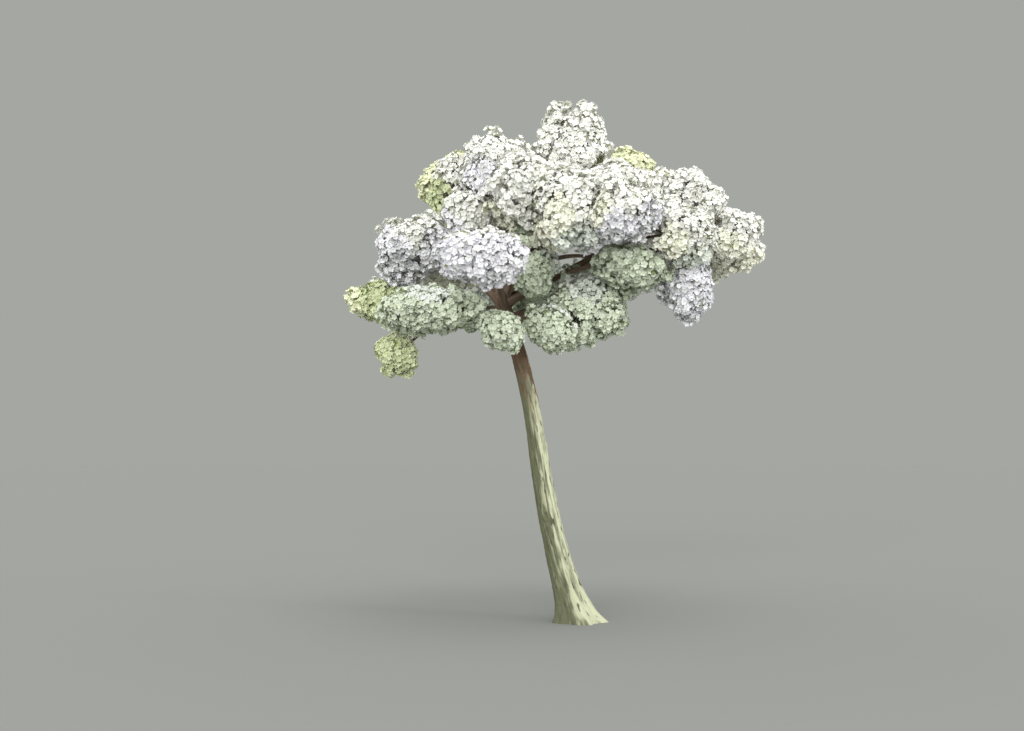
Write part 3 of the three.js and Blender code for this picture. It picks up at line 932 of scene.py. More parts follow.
@dataclass
class Skin:
    """The outer skin of one mass: swells and dents, and creases that the masses around it help to fill.

    Attributes:
        number: The mass's place in the table.
        room: How much nearer a point in the mass's own space is to it than to any other mass.
        farthest: Greatest share of the way to the plain skin that the skin grows to in a crease.
        crease: How strongly neighbouring masses fill the crease between them.
        crease_step: Share by which the skin grows at a time.
        swell: Mean share of the plain skin.
        swells: Height of the swells and dents.
        rates: How fast each wave of the swells changes.
        first_seed: Seed of the first mass's waves.
    """

    number: int
    room: float = 0.02
    farthest: float = 1.45
    crease: float = 1.4
    crease_step: float = 0.03
    swell: float = 0.98
    swells: float = 0.17
    rates: tuple[float, ...] = (3.1, 4.3, 5.9)
    first_seed: int = 901

    def __post_init__(self) -> None:
        """Draws the waves that make the swells, draw for draw as the solids' rule does."""
        stream = Stream(self.number + self.first_seed)
        axes, phases = [], []
        for _ in self.rates:
            z = 2 * stream.draw() - 1
            turn = 2 * math.pi * stream.draw()
            level = math.sqrt(1 - z * z)
            axes.append((level * math.cos(turn), level * math.sin(turn), z))
            phases.append(2 * math.pi * stream.draw())
        self.axes = np.array(axes)
        self.phases = np.array(phases)

    def plain(self, headings: np.ndarray, shares: np.ndarray) -> np.ndarray:
        """Returns the points at shares of the way from the heart to the plain skin."""
        return HEARTS[self.number] + HALVES[self.number] * headings * shares[:, None]

    def in_space(self, points: np.ndarray) -> np.ndarray:
        """Returns True for each point in this mass's own space, clear of every other mass."""
        around = depths(points)
        own = around[:, self.number]
        others = np.delete(around, self.number, axis=1)
        return (own < self.farthest) & (others > own[:, None] + self.room).all(axis=1)

    def share(self, headings: np.ndarray) -> np.ndarray:
        """Returns how far out the skin lies along headings, where 1 is its plain skin."""
        waves = np.sin(np.array(self.rates) * (headings @ self.axes.T) + self.phases)
        plain = self.swell + self.swells * waves.mean(axis=1)
        share = plain.copy()
        growing = np.ones(len(headings), dtype=bool)
        while growing.any():
            further = share + self.crease_step
            around = depths(self.plain(headings, further))
            others = np.delete(around, self.number, axis=1)
            filled = np.exp(self.crease * (1 - others**2)).sum(axis=1)
            filled += np.exp(self.crease * (1 - (further / plain) ** 2))
            clear = others.min(axis=1) > further + self.room
            growing &= (further < self.farthest) & clear & (filled > 1)
            share = np.where(growing, further, share)
        return share


@dataclass
class Bough:
    """One tapering limb, from the trunk or another bough to where it enters its mass.

    Attributes:
        name: Name of its mass.
        growth: The mass's row.
        start: Where its middle line starts.
        sides: Faces round the mesh.
        step: Length of a face along it.
        least_rings: Fewest faces along it.
        crook: Share of its run at which it bends.
        lift: How much of its rise it has made there, beyond that share.
        least_tip: Radius that the thinnest tip would have.
        tip_share: Share of the first radius that the tip adds to it.
        taper_power: How the radius falls between the two.
        entry_share: How near its mass's skin it ends.
        fine_points: Points in which its length is measured.
        wander: How far it swings off its middle line.
        wander_rate: How fast that swing changes along it.
        wander_levels: Where in the noise the swing along each axis is read.
        collar: How much thicker it is at its foot.
        collar_length: Length of that collar as a share of the first radius.
        full_relief: Radius from which the bark has its full relief.
        swell: Broad swells.
        furrow: Furrows along it.
        band: Cross bands.
        bend: Where the middle line bends.
        entry: Where it ends.
    """

    name: str
    growth: Growth
    start: np.ndarray
    sides: int = 20
    step: float = 0.022
    least_rings: int = 20
    crook: float = 0.38
    lift: float = 0.18
    least_tip: float = 0.011
    tip_share: float = 0.14
    taper_power: float = 0.8
    entry_share: float = 0.9
    fine_points: int = 400
    wander: float = 0.022
    wander_rate: float = 2.1
    wander_levels: tuple[float, ...] = (0.5, 7.5, 14.5)
    collar: float = 0.45
    collar_length: float = 1.1
    full_relief: float = 0.03
    swell: Ripple = Ripple(Profile.SWELL, 0.0030, 1.2, 5)
    furrow: Ripple = Ripple(Profile.FURROW, -0.0022, 3, 3, 0, 0.12)
    band: Ripple = Ripple(Profile.BAND, 0.0014, 1.5, 38, 0, 0.15)
    bend: np.ndarray = field(init=False)
    entry: np.ndarray = field(init=False)

    def __post_init__(self) -> None:
        """Works out the bend and the end of the middle line."""
        heart = MM * np.array(self.growth.heart, dtype=float)
        half = MM * np.array(self.growth.half, dtype=float)
        run = (heart - self.start) * (1, 1, 0)
        rise = heart[2] - self.start[2]
        self.bend = self.start + self.crook * run
        self.bend[2] += rise * (self.crook + self.lift) + self.growth.arch * np.linalg.norm(run) * self.crook
        inward = self.bend - heart
        self.entry = heart + inward * self.entry_share / np.linalg.norm(inward / half)

    @property
    def first_radius(self) -> float:
        """Radius where it starts."""
        return MM * self.growth.radius

    @property
    def tip_radius(self) -> float:
        """Radius where it ends."""
        return self.least_tip + self.tip_share * self.first_radius

    def point(self, t: float | np.ndarray) -> np.ndarray:
        """Returns the middle line's point at a parameter from 0 to 1."""
        t = np.asarray(t, dtype=float)[..., None]
        return (1 - t) ** 2 * self.start + 2 * t * (1 - t) * self.bend + t**2 * self.entry

    def radius(self, share: float | np.ndarray) -> float | np.ndarray:
        """Returns the radius at a share of its length."""
        return self.tip_radius + (self.first_radius - self.tip_radius) * (1 - share) ** self.taper_power

    def along(self, count: int) -> tuple[np.ndarray, np.ndarray]:
        """Points at even steps along the middle line.

        Args:
            count: Number of points.

        Returns:
            The points, and the length from the start to each.
        """
        fine = self.point(np.linspace(0, 1, self.fine_points))
        lengths = np.concatenate(([0.0], np.cumsum(np.linalg.norm(np.diff(fine, axis=0), axis=1))))
        wanted = np.linspace(0, lengths[-1], count)
        places = np.stack([np.interp(wanted, lengths, fine[:, axis]) for axis in range(3)], axis=1)
        return places, wanted

    def relief(self, length: float, angle: float, seed: float) -> float:
        """Works out how far the bark stands out.

        Args:
            length: Length along the bough.
            angle: Angle round it.
            seed: Number that makes this bough's bark its own.

        Returns:
            The sum of all ripples.
        """
        place = (math.cos(angle), math.sin(angle), length)
        own = ((self.swell, (seed, 0.0)), (self.furrow, (0.0, seed)), (self.band, (0.0, seed)))
        return sum(ripple.height(*place, shift) for ripple, shift in own)

    def build(self, parent_radius: float, number: int) -> None:
        """Extrudes the limb ring by ring along its middle line, with a collar at its foot.

        Args:
            parent_radius: Radius of the limb that it leaves.
            number: Its place in the table, which seeds its bark.
        """
        _, lengths = self.along(2)
        rings = max(self.least_rings, round(lengths[-1] / self.step))
        places, lengths = self.along(rings + 1)
        total = lengths[-1]
        swings = [
            [noise.noise(Vector((self.wander_rate * length, number, level))) for level in self.wander_levels]
            for length in lengths
        ]
        places = places + self.wander * np.sin(math.pi * lengths / total)[:, None] * np.array(swings)
        headings = unit(np.gradient(places, axis=0))
        side = unit(np.cross(headings[0], UP))
        tube = Tube(self.sides)
        for step, (place, heading, length) in enumerate(zip(places, headings, lengths)):
            if step:
                tube.extrude()
            side = unit(side - heading * (side @ heading))
            over = np.cross(side, heading)
            outside = max(0.0, length - parent_radius)
            thicker = 1 + self.collar * math.exp(-outside / (self.collar_length * self.first_radius))
            radius = self.radius(length / total) * thicker
            for vertex, angle in tube.turns.items():
                x, y = math.cos(angle), math.sin(angle)
                out = radius + self.relief(length, angle, number) * min(1.0, radius / self.full_relief)
                vertex.co = place + out * (x * side + y * over)
                vertex[tube.grain] = (BOUGH_GIRTH * x + number, BOUGH_GIRTH * y, length)
        mesh = tube.closed(f"bough_bark_{self.name}", BOUGH_BARK)
        node = f"blossom_{self.name}" if self.growth.fused else f"bough_{self.name}"
        place_piece(mesh, mesh.name, (node,))


# Flowers, leaves and twigs


@dataclass
class Master:
    """A small shape that is repeated thousands of times.

    Attributes:
        corners: Its vertices.
        faces: Its triangles.
        parts: Number of each triangle's part.
    """

    corners: np.ndarray
    faces: np.ndarray
    parts: np.ndarray

    @classmethod
    def from_bmesh(cls, shape: bmesh.types.BMesh) -> "Master":
        """Reads a finished bmesh, whose faces' material numbers say their parts, and frees it."""
        bmesh.ops.triangulate(shape, faces=shape.faces)
        shape.verts.index_update()
        corners = np.array([vertex.co for vertex in shape.verts], dtype=float)
        faces = np.array([[vertex.index for vertex in face.verts] for face in shape.faces], dtype=np.int64)
        parts = np.array([face.material_index for face in shape.faces], dtype=np.int64)
        shape.free()
        return cls(corners, faces, parts)

    def copies(
        self, places: np.ndarray, frames: np.ndarray, sizes: np.ndarray
    ) -> tuple[np.ndarray, np.ndarray]:
        """Repeats the shape.

        Args:
            places: Where each copy's origin goes.
            frames: The copies' three axes, as the rows of a matrix each.
            sizes: Size of each copy.

        Returns:
            All vertices and all triangles.
        """
        turned_corners = np.einsum("vi,nij->nvj", self.corners, frames)
        corners = turned_corners * sizes[:, None, None] + places[:, None, :]
        shifts = (np.arange(len(places)) * len(self.corners))[:, None, None]
        return corners.reshape(-1, 3), (self.faces[None] + shifts).reshape(-1, 3)


PETAL_COUNT = 5


def petal_wheel(outline: list[tuple[float, float, float]]) -> bmesh.types.BMesh:
    """Makes the petals of a flower of radius 1 that faces +Z.

    Args:
        outline: Corners of the petal that lies along +X.

    Returns:
        All its petals.
    """
    shape = bmesh.new()
    corners = [shape.verts.new(place) for place in outline]
    petal = bmesh.ops.contextual_create(shape, geom=corners)["faces"]
    bmesh.ops.recalc_face_normals(shape, faces=petal)
    if petal[0].normal.z < 0:
        bmesh.ops.reverse_faces(shape, faces=petal)
    bmesh.ops.spin(
        shape,
        geom=[*petal[0].verts, *petal[0].edges, petal[0]],
        axis=(0, 0, 1),
        cent=(0, 0, 0),
        angle=2 * math.pi * (PETAL_COUNT - 1) / PETAL_COUNT,
        steps=PETAL_COUNT - 1,
        use_duplicate=True,
    )
    return shape


def add_cone(
    shape: bmesh.types.BMesh,
    part: Part,
    sides: int,
    radii: tuple[float, float],
    ends: tuple[float, float],
) -> None:
    """Adds a tapering body along Z.

    Args:
        shape: The flower or bud that it is added to.
        part: The part of the flower that it makes.
        sides: Faces round it.
        radii: Radius at its lower and its upper end.
        ends: Height of the two ends.
    """
    low, high = ends
    made = bmesh.ops.create_cone(
        shape,
        segments=sides,
        radius1=radii[0],
        radius2=radii[1],
        depth=high - low,
        matrix=Matrix.Translation((0, 0, (low + high) / 2)),
    )
    for face in {face for corner in made["verts"] for face in corner.link_faces}:
        face.material_index = part.value


def flower_master(rise: float, cup: float) -> Master:
    """Makes one flower: five notched petals, an eye of stamens and a stalk.

    Args:
        rise: Angle by which the petals rise, in radians.
        cup: How far a petal's edges curl up.

    Returns:
        The master.
    """
    outline = ((0.05, 0.0, 0.0), (0.62, 0.43, 1.0), (1.0, 0.17, 0.9), (1.0, -0.17, 0.9), (0.62, -0.43, 1.0))
    shape = petal_wheel(
        [(x * math.cos(rise), y, x * math.sin(rise) + cup * curl) for x, y, curl in outline]
    )
    add_cone(shape, Part.EYE, 3, (0.20, 0.0), (0.02, 0.24))
    add_cone(shape, Part.STALK, 3, (0.0, 0.11), (-1.0, 0.0))
    return Master.from_bmesh(shape)


def inner_master() -> Master:
    """Returns a plainer flower for the layer behind the outer flowers."""
    outline = [(0.0, 0.0, 0.0), (0.62, 0.42, 0.16), (1.0, 0.0, 0.10), (0.62, -0.42, 0.16)]
    return Master.from_bmesh(petal_wheel(outline))


def bud_master() -> Master:
    """Returns a closed bud that points to +Z, on its stalk."""
    shape = bmesh.new()
    add_cone(shape, Part.PETAL, 4, (0.42, 0.0), (0.0, 0.62))
    add_cone(shape, Part.STALK, 3, (0.03, 0.36), (-1.0, 0.0))
    return Master.from_bmesh(shape)


def leaf_master() -> Master:
    """Returns a pointed leaf of length 1 along +X, folded along its rib."""
    shape = bmesh.new()
    outline = ((0.0, 0.0, 0.0), (0.30, 0.21, 0.09), (0.68, 0.19, 0.07), (1.0, 0.0, -0.08))
    for side in (1, -1):
        corners = [shape.verts.new((x, side * y, z)) for x, y, z in outline]
        bmesh.ops.contextual_create(shape, geom=corners)
    bmesh.ops.remove_doubles(shape, verts=shape.verts, dist=1e-4)
    bmesh.ops.recalc_face_normals(shape, faces=shape.faces)
    return Master.from_bmesh(shape)


def frames_facing(headings: np.ndarray, turns: np.ndarray) -> np.ndarray:
    """Axes of shapes that face given ways.

    Args:
        headings: Where each shape's +Z points.
        turns: Angle by which each is turned about that axis.

    Returns:
        One matrix for each, whose rows are its axes.
    """
    first = unit(np.cross(references(headings), headings))
    second = np.cross(headings, first)
    cosine, sine = np.cos(turns)[:, None], np.sin(turns)[:, None]
    return np.stack((first * cosine + second * sine, second * cosine - first * sine, headings), axis=1)


@dataclass(frozen=True)
class TwigOrder:
    """One order of twigs.

    Attributes:
        points: Points along the middle line of each.
        radii: Radius at the root and at the tip.
        sides: Faces round each.
        finish: Its bark.
    """

    points: int
    radii: tuple[float, float]
    sides: int
    finish: PlainFinish = TWIG


MAIN_TWIGS = TwigOrder(6, (0.010, 0.0055), 7)
SPRAY_TWIGS = TwigOrder(5, (0.0055, 0.0034), 5)
BRANCHLETS = TwigOrder(4, (0.0034, 0.0022), 4)
OUTER_SPURS = TwigOrder(3, (0.0021, 0.0014), 3, SPUR)
INNER_SPURS = TwigOrder(2, (0.0021, 0.0014), 3, SPUR)


def bent_lines(roots: np.ndarray, ways: np.ndarray, tips: np.ndarray, points: int) -> np.ndarray:
    """Middle lines that leave their roots one way and bend to their tips.

    Args:
        roots: Where the twigs start.
        ways: Directions in which they start, of length 1.
        tips: Where they end.
        points: Points along each line.

    Returns:
        The lines, one after another.
    """
    bow = 0.22
    length = np.linalg.norm(tips - roots, axis=1)[:, None]
    bends = 0.5 * (roots + tips) + bow * length * (ways - unit(tips - roots))
    t = np.linspace(0, 1, points)[None, :, None]
    return (1 - t) ** 2 * roots[:, None] + 2 * t * (1 - t) * bends[:, None] + t**2 * tips[:, None]


class TwigBasket:
    """Gathers the round twigs of one mass, to be joined into one mesh."""

    def __init__(self) -> None:
        """Starts empty."""
        self.corners: list[np.ndarray] = []
        self.faces: list[np.ndarray] = []
        self.colours: list[np.ndarray] = []
        self.count = 0

    def add(self, order: TwigOrder, roots: np.ndarray, ways: np.ndarray, tips: np.ndarray) -> None:
        """Adds tapering twigs.

        Args:
            order: The order that they belong to.
            roots: Where they start.
            ways: Directions in which they start, of length 1.
            tips: Where they end.
        """
        number, points, sides = len(roots), order.points, order.sides
        if not number:
            return
        lines = bent_lines(roots, ways, tips, points)
        heading = unit(np.gradient(lines, axis=1))
        whole = unit(lines[:, -1] - lines[:, 0])
        side = unit(np.cross(heading, references(whole)[:, None]))
        over = np.cross(heading, side)
        radius = np.linspace(*order.radii, points)[None, :, None, None]
        angle = (2 * math.pi / sides * np.arange(sides))[None, None, :, None]
        circle = np.cos(angle) * side[:, :, None] + np.sin(angle) * over[:, :, None]
        rings = lines[:, :, None] + radius * circle
        foot = np.arange(points - 1)[:, None] * sides
        first = foot + np.arange(sides)[None]
        after = foot + (np.arange(sides)[None] + 1) % sides
        quads = np.stack((first, after, after + sides, first + sides), axis=-1).reshape(-1, 4)
        walls = np.concatenate((quads[:, (0, 1, 2)], quads[:, (0, 2, 3)]))
        last = (points - 1) * sides
        lid = np.array([(last, last + k, last + k + 1) for k in range(1, sides - 1)])
        cell = np.concatenate((walls, lid))
        shifts = self.count + (np.arange(number) * points * sides)[:, None, None]
        self.corners.append(rings.reshape(-1, 3))
        self.faces.append((cell[None] + shifts).reshape(-1, 3))
        self.colours.append(np.full(number * len(cell), TWIG_FINISHES.index(order.finish)))
        self.count += rings.size // 3

    def build(self, name: str, nodes: tuple[str, ...]) -> None:
        """Joins all twigs into one piece.

        Args:
            name: Name of the piece.
            nodes: Solids that it stands for.
        """
        mesh = joined_mesh(
            name,
            np.concatenate(self.corners),
            np.concatenate(self.faces),
            np.concatenate(self.colours),
            TWIG_FINISHES,
        )
        place_piece(mesh, name, nodes)


@dataclass
class Limbs:
    """Where the trunk and the boughs run, so that blossom keeps clear of them.

    Attributes:
        points: Points along all middle lines.
        radii: Radius of the limb at each point.
    """

    points: np.ndarray
    radii: np.ndarray

    @classmethod
    def of(cls, trunk: Trunk, boughs: dict[str, Bough]) -> "Limbs":
        """Gathers points along the trunk and every bough."""
        lowest_blossom, trunk_points, bough_points = 1.8, 40, 30
        heights = np.linspace(lowest_blossom, trunk.height, trunk_points)
        points = [np.array([trunk.middle(h) for h in heights])]
        radii = [np.array([trunk.radius(h) for h in heights])]
        for bough in boughs.values():
            places, lengths = bough.along(bough_points)
            points.append(places)
            radii.append(bough.radius(lengths / lengths[-1]))
        return cls(np.concatenate(points), np.concatenate(radii))

    def clearance(self, places: np.ndarray) -> np.ndarray:
        """Returns how far each place lies from the nearest limb's bark."""
        gaps = np.linalg.norm(places[:, None] - self.points[None], axis=2) - self.radii[None]
        return gaps.min(axis=1)


@dataclass(frozen=True)
class Dome:
    """How the ends of finer twigs round off round the one that carries them.

    Attributes:
        peak: Reach of a twig in the middle.
        fall: How fast the reach falls from there.
        edge: Squared distance at which it falls no further.
    """

    peak: float
    fall: float
    edge: float

    def reach(self, headings: np.ndarray, carriers: np.ndarray) -> np.ndarray:
        """Works out the reach of each twig.

        Args:
            headings: Headings of the twigs.
            carriers: Heading of the twig that carries each.

        Returns:
            The reaches.
        """
        apart = np.sum((headings - carriers) ** 2, axis=1)
        return self.peak - self.fall * np.minimum(apart, self.edge)


@dataclass
class BlossomMass:
    """One mass of blossom: a stem, main twigs, spray twigs, branchlets, spurs, flowers and young leaves.

    Attributes:
        name: Its name.
        number: Its place in the table.
        bough: The limb that carries it.
        limbs: The limbs that its blossom keeps clear of.
        room: Two corners of the box that its blossom stays in.
        masters: Flowers from wide open to half open, a bud, and the plainer flower of the inner layer.
        leaf: The leaf that is repeated.
        scatter: Greatest angle by which a main or spray twig strays.
        main_roots: Where main twigs leave the stem, as shares of its length.
        main_reach: Share of the way to the skin that they reach.
        main_clearance: Least gap between their ends and the limbs.
        spray_roots: Where spray twigs leave the main twigs.
        sprays_per_main: Spray twigs for each main twig.
        spray_area: Skin for each spray in square metres.
        spray_reach: Limits of a spray's reach.
        spray_size: Limits of a posy's size in the solids, drawn here to keep in step with them.
        spray_end: Share of its spray's reach at which a spray twig ends.
        stem_taper: Share of its radius that the stem keeps at the heart.
        stem_foot: How far the stem starts inside the bough.
        branchlets_per_spray: Branchlets for each spray.
        branchlet_scatter: How far their headings stray from an even spread.
        branchlet_roots: Where they leave the spray twigs.
        branchlet_end: Share of the spray's reach at which a branchlet ends.
        branch_reach: Limits of a branchlet's own reach.
        wild_share: Share of branchlets that reach further than the rest.
        wild_reach: How much further these reach.
        cluster_area: Plain skin for each cluster in square metres.
        inner_share: Clusters of the inner layer for each of the outer.
        outer_layer: Shares of the reach between which the clusters of the outer layer sit.
        inner_layer: The same for the inner layer.
        dense_share: Greatest share of the way to the plain skin that clusters are counted for.
        cluster_scatter: How far their headings stray from an even spread.
        spray_dome: How the clusters of a spray round off.
        branchlet_dome: How those of a branchlet do.
        flower_depth: How far a flower stands above its place, as a share of its radius.
        draw_in: Share by which a cluster without room is drawn in at a time.
        draws: How often it is drawn in at most.
        least_reach: Share of the way to the skin inside which there are no clusters.
        lifting: How much the clusters turn up.
        cluster_tilt: How much each turns its own way.
        spur_roots: Where spurs leave the branchlets.
        sight_ways: Number of ways in which a point is looked at.
        sight_steps: Distances at which blossom may hide it, in metres.
        sight_filled: How much blossom must be there to hide it.
        limb_spurs: Spurs for each metre of bough.
        limb_steps: Number of steps in which the bough is measured.
        limb_spur_span: First and last step that carries spurs.
        limb_spur_length: Limits of their length.
        limb_spur_sink: Share of the bough's radius at which they start.
        limb_spur_lift: How much they turn up.
        limb_spur_tilt: How much each cluster on them turns its own way.
        limb_spur_clearance: Least gap between their ends and the limbs.
        limb_shelter: How much blossom must be near for a bough to carry spurs.
        limb_outside: Share of the way out of a mass from which a bough counts as outside it.
        flowers: Flowers in a cluster.
        flower_radius: Radius of a flower.
        flower_sizes: Limits of its size as a share of that.
        flower_kinds: Shares of wide open and half open flowers. The rest are buds.
        stalk_length: Length of its stalk.
        stalk_sizes: Limits of its length as a share of that.
        middle_tilt: Tilt of the flower in the middle of a cluster, in radians.
        round_tilt: Tilt of the flowers round it.
        tilt_spread: How much these tilts vary.
        turn_spread: How much their places round the cluster vary.
        facing_cluster: How much a flower faces the way of its cluster.
        facing_up: How much it faces up.
        facing_spread: How much it faces its own way.
        limb_room: Least gap between a cluster and the limbs.
        tone_edge: How sharply the tones of neighbouring masses part.
        tone_level: Place among the tone's colours of a spray that faces the side at painted_shade_height.
        painted_shade_tilt: How much further down the colours a spray is that faces down, to the darker
            colours of painted shade.
        painted_shade_height: Height of such a spray in metres. Each metre above it goes up by one colour, so
            lower sprays get more painted shade.
        tone_spread: How much the place varies.
        leaf_tilt: How much a leaf turns its own way.
        leaf_sizes: Limits of a leaf's length.
        leaf_gap: Gap between a leaf and its cluster's spur.
        leaf_young: Share of leaves that are still bronze green.
    """

    name: str
    number: int
    bough: Bough
    limbs: Limbs
    room: np.ndarray
    masters: tuple[Master, ...]
    leaf: Master
    scatter: float = 0.08
    main_roots: tuple[float, float] = (0.5, 1.0)
    main_reach: float = 0.6
    main_clearance: float = 0.01
    spray_roots: tuple[float, float] = (0.5, 0.9)
    sprays_per_main: float = 2.5
    spray_area: float = 0.19
    spray_reach: tuple[float, float] = (0.88, 1.04)
    spray_size: tuple[float, float] = (0.88, 1.12)
    spray_end: float = 0.76
    stem_taper: float = 0.55
    stem_foot: float = 0.02
    branchlets_per_spray: float = 6.0
    branchlet_scatter: float = 0.05
    branchlet_roots: tuple[float, float] = (0.45, 0.95)
    branchlet_end: float = 0.80
    branch_reach: tuple[float, float] = (0.86, 1.08)
    wild_share: float = 0.18
    wild_reach: float = 1.13
    cluster_area: float = 0.0074
    inner_share: float = 0.85
    outer_layer: tuple[float, float] = (0.96, 1.0)
    inner_layer: tuple[float, float] = (0.76, 0.9)
    dense_share: float = 1.22
    cluster_scatter: float = 0.035
    spray_dome: Dome = Dome(1.02, 0.14, 0.4)
    branchlet_dome: Dome = Dome(1.03, 2.2, 0.06)
    flower_depth: float = 0.3
    draw_in: float = 0.03
    draws: int = 20
    least_reach: float = 0.42
    lifting: float = 0.25
    cluster_tilt: float = 0.22
    spur_roots: tuple[float, float] = (0.35, 0.98)
    sight_ways: int = 32
    sight_steps: tuple[float, ...] = (0.14, 0.26, 0.4, 0.6, 0.85)
    sight_filled: float = 1.3
    limb_spurs: float = 26.0
    limb_steps: int = 200
    limb_spur_span: tuple[int, int] = (36, 198)
    limb_spur_length: tuple[float, float] = (0.02, 0.07)
    limb_spur_sink: float = 0.9
    limb_spur_lift: float = 0.2
    limb_spur_tilt: float = 0.2
    limb_spur_clearance: float = 0.02
    limb_shelter: float = 0.85
    limb_outside: float = 0.93
    flowers: int = 5
    flower_radius: float = 0.033
    flower_sizes: tuple[float, float] = (0.86, 1.12)
    flower_kinds: tuple[float, float] = (0.62, 0.30)
    stalk_length: float = 0.036
    stalk_sizes: tuple[float, float] = (0.8, 1.15)
    middle_tilt: float = 0.25
    round_tilt: float = 1.12
    tilt_spread: float = 0.16
    turn_spread: float = 0.2
    facing_cluster: float = 0.35
    facing_up: float = 0.12
    facing_spread: float = 0.13
    limb_room: float = 0.045
    tone_edge: float = 5.0
    tone_level: float = 1.1
    painted_shade_tilt: float = 1.1
    painted_shade_height: float = 3.6
    tone_spread: float = 0.45
    leaf_tilt: float = 0.6
    leaf_sizes: tuple[float, float] = (0.045, 0.07)
    leaf_gap: float = 0.006
    leaf_young: float = 0.4

    # Seed of the first mass's flowers
    FIRST_SEED = 1000
    # Draws that the solids' rule makes for the shape of one posy
    POSY_DRAWS = 6
    # Just over a whole turn, in radians
    ANY_TURN = (0.0, 6.3)

    def __post_init__(self) -> None:
        """Works out the sizes that all steps share."""
        self.heart = HEARTS[self.number]
        self.half = HALVES[self.number]
        self.tone = self.bough.growth.tone
        self.skin = Skin(self.number)
        self.dice = np.random.default_rng(self.FIRST_SEED + self.number)

    def out(self, headings: np.ndarray, share: float | np.ndarray) -> np.ndarray:
        """Returns the points at a share of the way out to the skin along headings."""
        return self.skin.plain(headings, share * self.skin.share(headings))

    def skin_area(self) -> float:
        """Returns the area of the skin, by the usual mean of the half sizes in pairs."""
        power = 1.6
        a, b, c = self.half
        mean = ((a * b) ** power + (a * c) ** power + (b * c) ** power) / 3
        return 4 * math.pi * mean ** (1 / power)

    def filling(self, points: np.ndarray) -> np.ndarray:
        """Returns how much blossom all masses together have round each point, about 1 on a plain skin."""
        return np.exp(self.skin.crease * (1 - depths(points) ** 2)).sum(axis=-1)

    def shows(self, points: np.ndarray) -> np.ndarray:
        """Returns False for each point that other blossom hides from every side."""
        ways = spiral_headings(self.sight_ways)
        steps = np.array(self.sight_steps)
        probes = points[:, None, None] + ways[None, :, None] * steps[None, None, :, None]
        return ~(self.filling(probes) > self.sight_filled).any(axis=2).all(axis=1)

    def grow_wood(self) -> None:
        """Grows the main twigs and spray twigs, draw for draw as the solids' rule does."""
        stream = Stream(self.number + 1)
        spray_count = round_half_up(self.skin_area() / self.spray_area)
        main_count = round_half_up(spray_count / self.sprays_per_main)
        mains = []
        for heading in spiral_headings(main_count):
            heading = strayed(heading, stream, self.scatter)
            share = stream.between(*self.main_roots)
            mains.append((heading, self.bough.entry + share * (self.heart - self.bough.entry)))
        headings = np.array([heading for heading, _ in mains])
        roots = np.array([root for _, root in mains])
        tips = self.out(headings, self.main_reach)
        middles = 0.5 * (roots + tips)
        clear = self.limbs.clearance(tips) > self.main_clearance
        kept = self.skin.in_space(tips) & self.skin.in_space(middles) & clear
        self.main_headings, self.main_roots_at, self.main_tips = headings[kept], roots[kept], tips[kept]
        sprays = []
        for heading in spiral_headings(spray_count):
            heading = strayed(heading, stream, self.scatter)
            root_share = stream.between(*self.spray_roots)
            reach = stream.between(*self.spray_reach)
            stream.between(*self.spray_size)
            for _ in range(self.POSY_DRAWS):
                stream.draw()
            nearest = int(np.argmax(self.main_headings @ heading))
            foot, end = self.main_roots_at[nearest], self.main_tips[nearest]
            sprays.append((heading, nearest, foot + root_share * (end - foot), reach))
        columns = (np.array(column) for column in zip(*sprays))
        self.spray_headings, self.spray_mains, self.spray_roots_at, self.spray_reaches = columns
        self.spray_tips = self.out(self.spray_headings, self.spray_end * self.spray_reaches)

    def spread(self, count: int, scatter: float) -> np.ndarray:
        """Returns that many headings, spread nearly evenly all round."""
        return unit(spiral_headings(count) + self.dice.normal(0, scatter, (count, 3)))

    def grow_clusters(self) -> None:
        """Grows branchlets, and on them the spurs that end in a cluster of flowers each."""
        count = round_half_up(self.branchlets_per_spray * len(self.spray_headings))
        self.branch_headings = self.spread(count, self.branchlet_scatter)
        self.branch_sprays = np.argmax(self.branch_headings @ self.spray_headings.T, axis=1)
        share = self.dice.uniform(*self.branchlet_roots, (count, 1))
        feet, ends = self.spray_roots_at[self.branch_sprays], self.spray_tips[self.branch_sprays]
        self.branch_roots = feet + share * (ends - feet)
        reach = self.branchlet_end * self.spray_reaches[self.branch_sprays]
        self.branch_tips = self.out(self.branch_headings, reach)
        wild = self.dice.random(count) < self.wild_share
        own = self.dice.uniform(*self.branch_reach, count)
        self.branch_reaches = own * np.where(wild, self.wild_reach, 1.0)
        outer = round_half_up(self.skin_area() / self.cluster_area)
        inner = round_half_up(outer * self.inner_share)
        rows = (
            self.cluster_row(outer, self.outer_layer),
            self.cluster_row(inner, self.inner_layer),
            self.limb_row(),
        )
        self.inner = np.concatenate([np.full(len(row[0]), k == 1) for k, row in enumerate(rows)])
        self.tips, self.axes, self.roots, self.ways = (np.concatenate(row) for row in zip(*rows))
        around = unit((self.tips - self.heart) / self.half)
        self.cluster_sprays = np.argmax(around @ self.spray_headings.T, axis=1)

